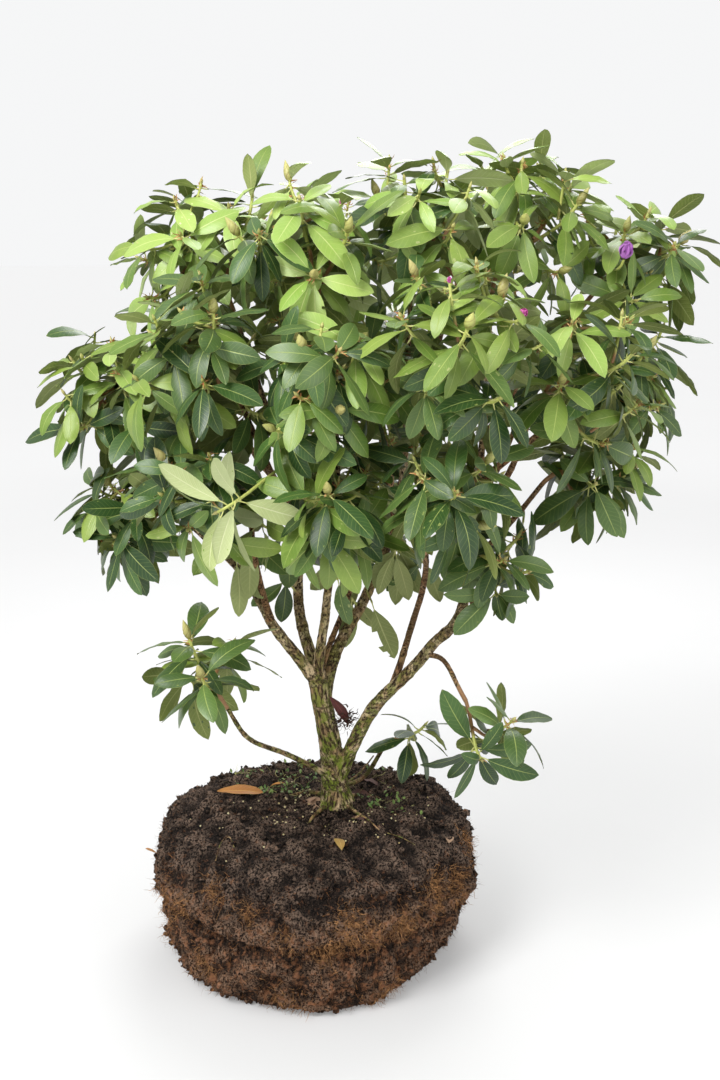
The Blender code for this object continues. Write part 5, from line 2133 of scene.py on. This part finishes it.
def lumps(spots, shapes):
    """Twenty-sided lumps at these spots, as arrays of points and faces."""
    faces = LUMP_FACES[None] + len(LUMP_POINTS) * np.arange(len(spots))[:, None, None]
    return (spots[:, None, :] + shapes).reshape(-1, 3), faces.reshape(-1, 3)


def crumb_piece(name, spots, sizes, rng):
    """A joined piece of rough peat crumbs, each with its own tone."""
    count = len(spots)
    shapes = LUMP_POINTS[None] * rng.uniform(0.45, 1.55, (count, 12, 1)) * sizes[:, None, None]
    shapes = shapes * rng.uniform(0.5, 1.6, (count, 1, 3))
    points, faces = lumps(spots, shapes)
    points[:, 2] = np.maximum(points[:, 2], FLOOR_CLEARANCE)
    tones = np.repeat(rng.uniform(0, 1, (count, 1)) ** 2, 12, axis=0) * [[1.0, 0, 0]]
    piece = joined_piece(name, points, faces, [crumb_peat], smooth=False, vectors={"clod": tones})
    return piece


rng = np.random.default_rng(31)
crumb_spots, crumb_ways = surface_spots(CRUMBS, rng)
crumb_sizes = 0.0009 + 0.0036 * rng.uniform(0, 1, CRUMBS) ** 3
crumb_piece("peat_crumbs", crumb_spots + crumb_ways * crumb_sizes[:, None] * 0.4, crumb_sizes, rng)

# %% [markdown]
# ## Fine roots
#
# Thousands of fine roots and peat fibres stand out of the sides, and in some places they bunch into
# orange-brown tufts. A fibre is a narrow curling strip. Hair particles would be the usual way to make
# them, but they are dropped when a model is exported, so they are a joined mesh as well.

# %% Fibres
SIDE_FIBRES = 7000
DARK_FIBRES = 4000

rust_fibre = strip_finish("rust fibre", (0.055, 0.026, 0.013), (0.30, 0.125, 0.045))
dark_fibre = strip_finish("dark fibre", (0.022, 0.014, 0.010), (0.075, 0.045, 0.028))
rng = np.random.default_rng(41)
found = surface_spots(SIDE_FIBRES, rng, 0.003, 0.20)
strip_piece("side_fibres", *found, (0.006, 0.017), (0.0004, 0.0011), rust_fibre, rng, hang=0.35)
found = surface_spots(DARK_FIBRES, rng, 0.05, 1.0)
strip_piece("dark_fibres", *found, (0.005, 0.015), (0.0004, 0.0009), dark_fibre, rng, hang=0.2)

# %% Tufts
TUFTS = (
    # angle in degrees, height, spread, fibres
    (-77, 0.150, 0.020, 560), (-57, 0.135, 0.018, 420), (-84, 0.112, 0.018, 380), (-41, 0.160, 0.024, 560),
    (-27, 0.150, 0.022, 420), (-70, 0.128, 0.016, 300), (-125, 0.178, 0.018, 200), (-110, 0.160, 0.014, 200),
    (-154, 0.120, 0.024, 320), (-166, 0.050, 0.022, 240), (-133, 0.050, 0.022, 200), (-60, 0.010, 0.020, 240),
    (-100, 0.020, 0.024, 200), (-140, 0.140, 0.014, 160), (-97, 0.135, 0.012, 160), (10, 0.130, 0.030, 260),
    (60, 0.100, 0.030, 260), (110, 0.140, 0.030, 260), (160, 0.080, 0.030, 260), (-12, 0.195, 0.012, 160),
)
TUFT_RING = 0.238


def tuft_spots(angle, height, spread, count, rng):
    """Spots on the ball's surface round a place given by angle and height."""
    turn = math.radians(angle)
    aim = np.array([TUFT_RING * math.cos(turn), TUFT_RING * math.sin(turn), height])
    away = np.linalg.norm(ball_points.reshape(-1, 3) - aim, axis=1)
    return spots_by_weight(np.exp(-((away / spread) ** 2)), count, rng)


tuft_fibre = strip_finish("tuft fibre", (0.13, 0.060, 0.024), (0.46, 0.235, 0.095))
found = [tuft_spots(*tuft, rng) for tuft in TUFTS]
spots, ways = (np.concatenate(parts) for parts in zip(*found))
strip_piece("tufts", spots, ways, (0.008, 0.024), (0.0005, 0.0012), tuft_fibre, rng, curl=1.3, hang=0.35)

# %% [markdown]
# ## On top of the ball
#
# The peat's top carries what fell or sprouted there: an orange rhododendron leaf, small brown ones,
# seedlings, beads of plant food, a broken twig and some bare roots. Their places were read from the
# picture and dropped onto the mesh with a ray, so that each rests on the clods.

# %% Dropping things on the ball
ball_tree = BVHTree.FromPolygons([Vector(point) for point in ball_points.reshape(-1, 3)], ball_faces.tolist())


def on_top(x, y, lift=0.0):
    """The point of the ball's top at x, y, raised by lift."""
    hit, _, _, _ = ball_tree.ray_cast(Vector((x, y, 0.5)), Vector((0, 0, -1)))
    return (hit or Vector((x, y, BALL_HEIGHT))) + float(lift) * UP


def lying_leaf(start, end, width, lift=0.004, tilt=0.0):
    """A leaf that lies on the ball from start to end."""
    root, tip = on_top(*start, lift), on_top(*end, lift)
    way = (tip - root).normalized()
    level = UP.cross(way).normalized()
    return Leaf(root, way, swung(tilt, level, way.cross(level)), (tip - root).length, width)


def fallen(name, finish_values, batch, seed, **bends):
    """A piece of fallen leaves of one colour."""
    bump, deep, light, rib, roughness = finish_values
    finish = leaf_finish("fallen " + name, bump, deep, light, rib, Roughness=roughness)
    return loose_leaves("fallen_" + name, batch, [finish], "root_ball", seed, **bends)


print("ball tree ready")

# %% Fallen leaves
RIM_PLACE = Vector((-0.232, -0.062, 0.172))
RIM_WAY = Vector((-0.75, -0.2, 0.5)).normalized()
RIM_ACROSS = Vector((0.2, -0.7, 0.1)).normalized()
# bump, deep, light, rib, roughness
ORANGE = 0.8, (0.24, 0.085, 0.015), (0.62, 0.27, 0.035), (0.72, 0.45, 0.12), 0.5
YELLOW = 0.8, (0.30, 0.17, 0.035), (0.62, 0.45, 0.12), (0.60, 0.42, 0.15), 0.6
BROWN = 0.9, (0.16, 0.075, 0.045), (0.42, 0.27, 0.17), (0.50, 0.36, 0.22), 0.8
DARK = 0.9, (0.045, 0.018, 0.014), (0.13, 0.055, 0.038), (0.2, 0.1, 0.06), 0.7

orange_batch = [
    lying_leaf((-0.162, 0.028), (-0.080, -0.003), 0.020, 0.010, 0.35),
    lying_leaf((-0.075, 0.055), (-0.045, 0.052), 0.010, 0.003),
    Leaf(RIM_PLACE, RIM_WAY, RIM_ACROSS, 0.024, 0.014),
]
yellow_batch = [lying_leaf((0.045, -0.168), (0.038, -0.128), 0.015, 0.009, 0.1)]
brown_batch = [
    lying_leaf((-0.020, -0.022), (0.022, -0.045), 0.020, 0.006, 0.6),
    lying_leaf((-0.006, -0.046), (0.010, -0.014), 0.014, 0.006, -0.5),
    lying_leaf((0.200, -0.100), (0.205, -0.075), 0.012, 0.004, 0.3),
]
dark_batch = [
    lying_leaf((0.050, 0.010), (0.090, -0.008), 0.016, 0.005, 0.4),
    lying_leaf((0.060, 0.062), (0.100, 0.035), 0.015, 0.005, -0.3),
    lying_leaf((0.050, -0.070), (0.100, -0.092), 0.012, 0.005, 0.3),
]
fallen("orange", ORANGE, orange_batch, 11, keel=(0.3, 0.6), arch=(0.2, 0.5))
fallen("yellow", YELLOW, yellow_batch, 13, keel=(0.2, 0.3), twist=(0.0, 0.1))
fallen("brown", BROWN, brown_batch, 15, keel=(0.4, 0.8), twist=(-1.0, 1.0))
fallen("dark", DARK, dark_batch, 17, keel=(0.4, 0.8), twist=(-0.6, 0.6))

# %% [markdown]
# ## Moss and seedlings
#
# Little green plants and straw-coloured stalks have come up round the trunk, in loose patches. The
# seedlings are leaf grids a centimetre long, and the stalks are strips that hardly curl.

# %% Moss and seedlings
WEED_PLACES = (
    # x, y, spread, leaves
    (-0.043, 0.107, 0.016, 14), (-0.048, 0.045, 0.018, 26), (-0.029, 0.150, 0.014, 10),
    (0.088, -0.032, 0.018, 14), (0.124, 0.006, 0.016, 12), (-0.020, 0.020, 0.020, 16),
    (0.060, -0.015, 0.016, 10), (-0.075, 0.020, 0.012, 10), (0.140, -0.040, 0.014, 8),
    (0.010, 0.080, 0.020, 12), (-0.120, 0.090, 0.020, 10), (0.100, 0.100, 0.020, 10),
)
STRAWS = 90

rng = random.Random(71)
weeds = []
for x, y, spread, count in WEED_PLACES:
    for _ in range(count):
        root = on_top(x + rng.gauss(0, spread), y + rng.gauss(0, 0.7 * spread), 0.001 + rng.uniform(0, 0.004))
        turn = rng.uniform(0, 2 * math.pi)
        way = Vector((math.cos(turn), math.sin(turn), rng.uniform(0.2, 1.2))).normalized()
        across = way.cross(UP).normalized() * (1 if rng.random() < 0.5 else -1)
        weeds.append(Leaf(root, way, across, rng.uniform(0.006, 0.011), rng.uniform(0.0028, 0.0048)))
# bump, deep, light, rib
WEED_LOOKS = 0.3, (0.05, 0.12, 0.02), (0.19, 0.27, 0.06), (0.30, 0.42, 0.10)
weed_green = leaf_finish("seedling", *WEED_LOOKS, Roughness=0.5)
loose_leaves("seedlings", weeds, [weed_green], "root_ball", 19)

straw = strip_finish("straw", (0.30, 0.30, 0.09), (0.52, 0.48, 0.22))
rng = np.random.default_rng(72)
spots = []
for k in rng.integers(0, len(WEED_PLACES), STRAWS):
    x, y = WEED_PLACES[k][:2]
    spots.append(on_top(x + rng.normal(0, 0.024), y + rng.normal(0, 0.02), 0.003))
ways = rng.normal(0, 1, (STRAWS, 3)) * (1, 1, 0.25)
strip_piece("straws", np.array(spots), ways, (0.010, 0.030), (0.0006, 0.0012), straw, rng, spread=0.2)

# %% [markdown]
# ## Plant food and bare roots
#
# Yellow beads of plant food lie in front of the trunk and at its left. They use the crumbs' lump
# without its roughness. The bare roots and the broken twig are open tubes through points on the peat,
# in the bark of the young boughs.

# %% Beads
BEADS = 150
BEADS_IN_FRONT = 100

rng = np.random.default_rng(73)
in_front = rng.normal(0.045, 0.055, BEADS_IN_FRONT)
at_left = rng.normal(-0.06, 0.05, BEADS - BEADS_IN_FRONT)
bead_y = rng.normal(-0.055, 0.045, BEADS)
bead_sizes = rng.uniform(0.0011, 0.0019, BEADS)
bead_spots = np.array([on_top(x, y, 0.0004) for x, y in zip((*in_front, *at_left), bead_y)])
bead_points, bead_faces = lumps(bead_spots, LUMP_POINTS[None] * bead_sizes[:, None, None])
bead_skin = strip_finish("plant food bead", (0.50, 0.38, 0.16), (0.74, 0.66, 0.40))
beads = joined_piece("beads", bead_points, bead_faces, [bead_skin])

# %% Roots and the broken twig
ROOT_LINES = (
    # points on the top as x, y, lift, and the radius
    (((0.051, 0.053, 0.000), (0.072, 0.090, 0.012), (0.092, 0.134, 0.030)), 0.0021),
    (((-0.136, -0.160, 0.002), (-0.130, -0.145, 0.009), (-0.122, -0.127, 0.006)), 0.0009),
    (((-0.110, -0.150, 0.002), (-0.118, -0.135, 0.006), (-0.128, -0.128, 0.002)), 0.0008),
    (((0.110, -0.110, 0.004), (0.130, -0.116, 0.007), (0.150, -0.125, 0.003)), 0.0009),
    (((0.058, -0.082, 0.003), (0.075, -0.090, 0.008), (0.098, -0.106, 0.002)), 0.0016),
    (((0.020, -0.010, 0.010), (-0.010, 0.010, 0.004), (-0.045, 0.018, -0.004)), 0.0040),
    (((0.050, -0.015, 0.010), (0.080, 0.005, 0.003), (0.105, 0.012, -0.004)), 0.0038),
    (((0.045, -0.045, 0.010), (0.070, -0.062, 0.003), (0.088, -0.068, -0.005)), 0.0036),
    (((0.020, -0.045, 0.010), (0.000, -0.068, 0.003), (-0.008, -0.085, -0.005)), 0.0036),
    (((0.035, -0.010, 0.010), (0.040, 0.025, 0.003), (0.050, 0.055, -0.005)), 0.0038),
)
ROOT_SIDES = 7
ROOT_TAPER = 0.45

root_shape = Shape()
for corners, radius in ROOT_LINES:
    path = smooth_line([on_top(x, y, lift) for x, y, lift in corners], 0.004)
    radii = [radius * (1 - ROOT_TAPER * i / (len(path) - 1)) for i in range(len(path))]
    points, faces = open_rings(path, radii, ROOT_SIDES)
    root_shape.add(points, faces, [point * 0.5 for point in points])
roots_top = root_shape.piece("surface_roots", young_bark, key="grain")

# %% [markdown]
# ## The mound at the trunk's foot
#
# Peat is heaped against the trunk. Without it the bark would meet the peat in a clean circle, so
# coarse crumbs are dropped round the foot, higher and closer together near the bark.

# %% The mound
MOUND_CRUMBS = 420
MOUND_RING = 0.020

mound_turn = rng.uniform(0, 2 * np.pi, MOUND_CRUMBS)
mound_out = MOUND_RING + rng.exponential(0.014, MOUND_CRUMBS)
mound_x = TRUNK_FOOT.x + mound_out * np.cos(mound_turn)
mound_y = TRUNK_FOOT.y + mound_out * np.sin(mound_turn)
mound_lift = 0.007 * np.exp(-(mound_out - MOUND_RING) / 0.012)
mound_spots = np.array([on_top(x, y, lift) for x, y, lift in zip(mound_x, mound_y, mound_lift)])
crumb_piece("foot_mound", mound_spots, rng.uniform(0.0018, 0.0045, MOUND_CRUMBS), rng)
